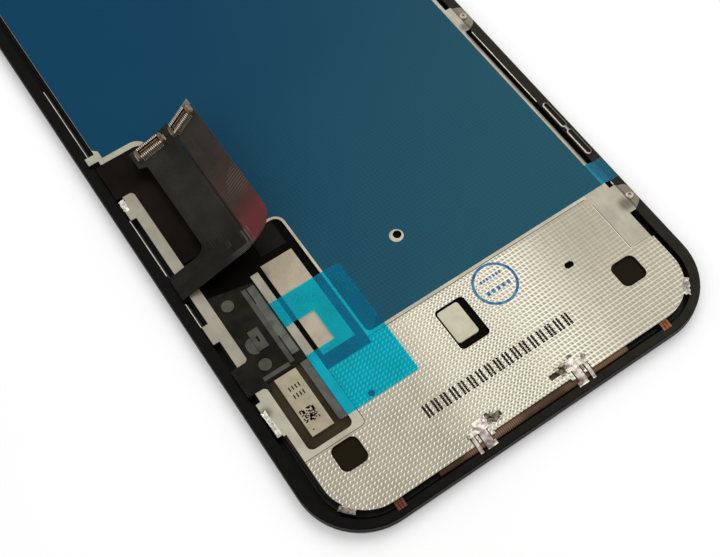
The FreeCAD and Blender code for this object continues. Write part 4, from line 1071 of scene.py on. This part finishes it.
def tilted_box(bm, side, x, y, width, length, low, high):
    """Add one block to a connector, in the connector's own tilted axes."""
    centre_x, from_chin, level, slope = CONNECTORS[side]
    turn = Matrix.Rotation(-slope, 3, "Y")
    middle = Vector((centre_x, row_y(from_chin), level))
    points = []
    for height in (low, high):
        for dx, dy in CORNERS:
            place = Vector((x + dx * width / 2, y + dy * length / 2, CIRCUIT_THICKNESS + height))
            points.append(bm.verts.new(middle + turn @ place))
    for face in BLOCK_FACES:
        bm.faces.new([points[index] for index in face])


def connector_lining(side, material):
    """Dark lining of the trough and the ridge of a connector."""
    bm = bmesh.new()
    gap = (TROUGH_WIDTH - RIDGE_WIDTH) / 2
    floor_width = gap - LINING_CLEARANCE
    for sign in (-1, 1):
        middle = sign * (RIDGE_WIDTH + gap) / 2
        floor_top = TROUGH_FLOOR + LINING_THICKNESS
        tilted_box(bm, side, 0, middle, TROUGH_LENGTH, floor_width, TROUGH_FLOOR, floor_top)
        wall = sign * (TROUGH_WIDTH / 2 - LINING_CLEARANCE)
        wall_top = HOUSING_HEIGHT - LINING_DEPTH
        tilted_box(bm, side, 0, wall, TROUGH_LENGTH, LINING_THICKNESS, TROUGH_FLOOR, wall_top)
    cap_length, cap_width = RIDGE_LENGTH + 2 * LINING_CLEARANCE, RIDGE_WIDTH + 2 * LINING_CLEARANCE
    tilted_box(bm, side, 0, 0, cap_length, cap_width, RIDGE_TOP - LINING_DEPTH, RIDGE_TOP + LINING_CAP)
    new_piece(f"lining_{side}", bm, material)


def connector_blades(side, material):
    """Gilt blades across the ridge of a connector."""
    bm = bmesh.new()
    for index in range(CONTACT_COUNT):
        x = (index - (CONTACT_COUNT - 1) / 2) * CONTACT_PITCH * BLADE_SPREAD
        reach = RIDGE_WIDTH + BLADE_REACH
        tilted_box(bm, side, x, 0, BLADE_WIDTH, reach, TROUGH_FLOOR, RIDGE_TOP - BLADE_DROP)
    new_piece(f"blades_{side}", bm, material)


def connector_comb(side, material):
    """Tinned ends of the contacts on the rims of a connector."""
    bm = bmesh.new()
    for index in range(CONTACT_COUNT):
        x = (index - (CONTACT_COUNT - 1) / 2) * CONTACT_PITCH
        for sign in (-1, 1):
            tilted_box(bm, side, x, sign * COMB_OFFSET, COMB_WIDTH, COMB_LENGTH, *COMB_SPAN)
    new_piece(f"comb_{side}", bm, material)


def dress_details(materials):
    """Print, screws, crumpled metal and contacts that the model leaves to the looks."""
    print_row(materials["black_ink"])
    print_ring(materials["blue_ink"])
    label_marks(materials["black_ink"])
    for name, place in SCREWS.items():
        screw_head(name, *place, materials["screw_steel"])
    for name, (material, *shape) in FLAKES.items():
        crumpled_flake(name, materials[material], *shape)
    for index, place in enumerate(PRESSED_SPOTS):
        pressed_spot(f"pressed_spot_{index + 1}", *place, materials["torn_steel"])
    for side in CONNECTORS:
        connector_lining(side, materials["connector_lining"])
        connector_blades(side, materials["gilt_blade"])
        connector_comb(side, materials["tinned_contact"])


# Soft lamps: place and size in metres, and power. The world's light is weaker than it shows.
LAMPS = {"key": ((0.35, 0.25, 0.6), 0.7, 2.5), "fill": ((-0.5, -0.2, 0.45), 0.6, 0.6)}
WORLD_LIGHT = 0.62
WHITE = (1, 1, 1, 1)

# The floor's side, and how much it is lifted towards white where it is seen
FLOOR_SIZE = 4000
FLOOR_LIFT = 0.1


def soft_light(name, place, size, power):
    """Large soft lamp aimed at the module."""
    data = bpy.data.lights.new(name, "AREA")
    data.shape = "DISK"
    data.size = size
    data.energy = power
    lamp = bpy.data.objects.new(name, data)
    bpy.context.scene.collection.objects.link(lamp)
    lamp.location = place
    lamp.rotation_mode = "QUATERNION"
    lamp.rotation_quaternion = (-Vector(place)).to_track_quat("-Z", "Y")


def seen_share(tree):
    """1 for rays that show the background itself: to the camera, in gloss and through clear film."""
    path = tree.nodes.new("ShaderNodeLightPath")
    share = path.outputs["Is Camera Ray"]
    for other in ("Is Glossy Ray", "Is Transmission Ray"):
        larger = tree.nodes.new("ShaderNodeMath")
        larger.operation = "MAXIMUM"
        tree.links.new(share, larger.inputs[0])
        tree.links.new(path.outputs[other], larger.inputs[1])
        share = larger.outputs[0]
    return share


def seen_strength(tree, unseen, seen, socket):
    """Give a socket one strength for rays that show the background and another for the rest."""
    strength = tree.nodes.new("ShaderNodeMapRange")
    strength.inputs["To Min"].default_value = unseen
    strength.inputs["To Max"].default_value = seen
    tree.links.new(seen_share(tree), strength.inputs["Value"])
    tree.links.new(strength.outputs["Result"], socket)


def set_world():
    """White surround: full strength where it is seen, softer as light."""
    world = bpy.data.worlds.new("studio")
    bpy.context.scene.world = world
    world.use_nodes = True
    background = world.node_tree.nodes["Background"]
    background.inputs["Color"].default_value = WHITE
    seen_strength(world.node_tree, WORLD_LIGHT, 1.0, background.inputs["Strength"])


def set_floor(paper):
    """Plain pale floor under the module."""
    bm = bmesh.new()
    flat_quad(bm, 0, 0, 0, FLOOR_SIZE, FLOOR_SIZE)
    floor = new_object("floor", bm, paper)
    shader = paper.node_tree.nodes["Principled BSDF"]
    shader.inputs["Emission Color"].default_value = WHITE
    seen_strength(paper.node_tree, 0.0, FLOOR_LIFT, shader.inputs["Emission Strength"])


def set_camera():
    """Camera at the place and angle of the photograph."""
    data = bpy.data.cameras.new("camera")
    data.sensor_fit = "HORIZONTAL"
    data.sensor_width = SENSOR_WIDTH
    data.lens = CAMERA_LENS
    data.clip_start, data.clip_end = CAMERA_CLIP
    camera = bpy.data.objects.new("camera", data)
    bpy.context.scene.collection.objects.link(camera)
    turn = Matrix((CAMERA_RIGHT, CAMERA_UP, CAMERA_BACK)).transposed().to_4x4()
    camera.matrix_world = Matrix.Translation(Vector(CAMERA_PLACE) * MM) @ turn
    bpy.context.scene.camera = camera


def main():
    """Dress the module and set the stage."""
    materials = make_materials()
    dress_nodes(materials)
    dress_details(materials)
    set_world()
    set_floor(materials["floor_paper"])
    for name, lamp in LAMPS.items():
        soft_light(name, *lamp)
    set_camera()
    bpy.context.scene.view_settings.view_transform = "Standard"


main()
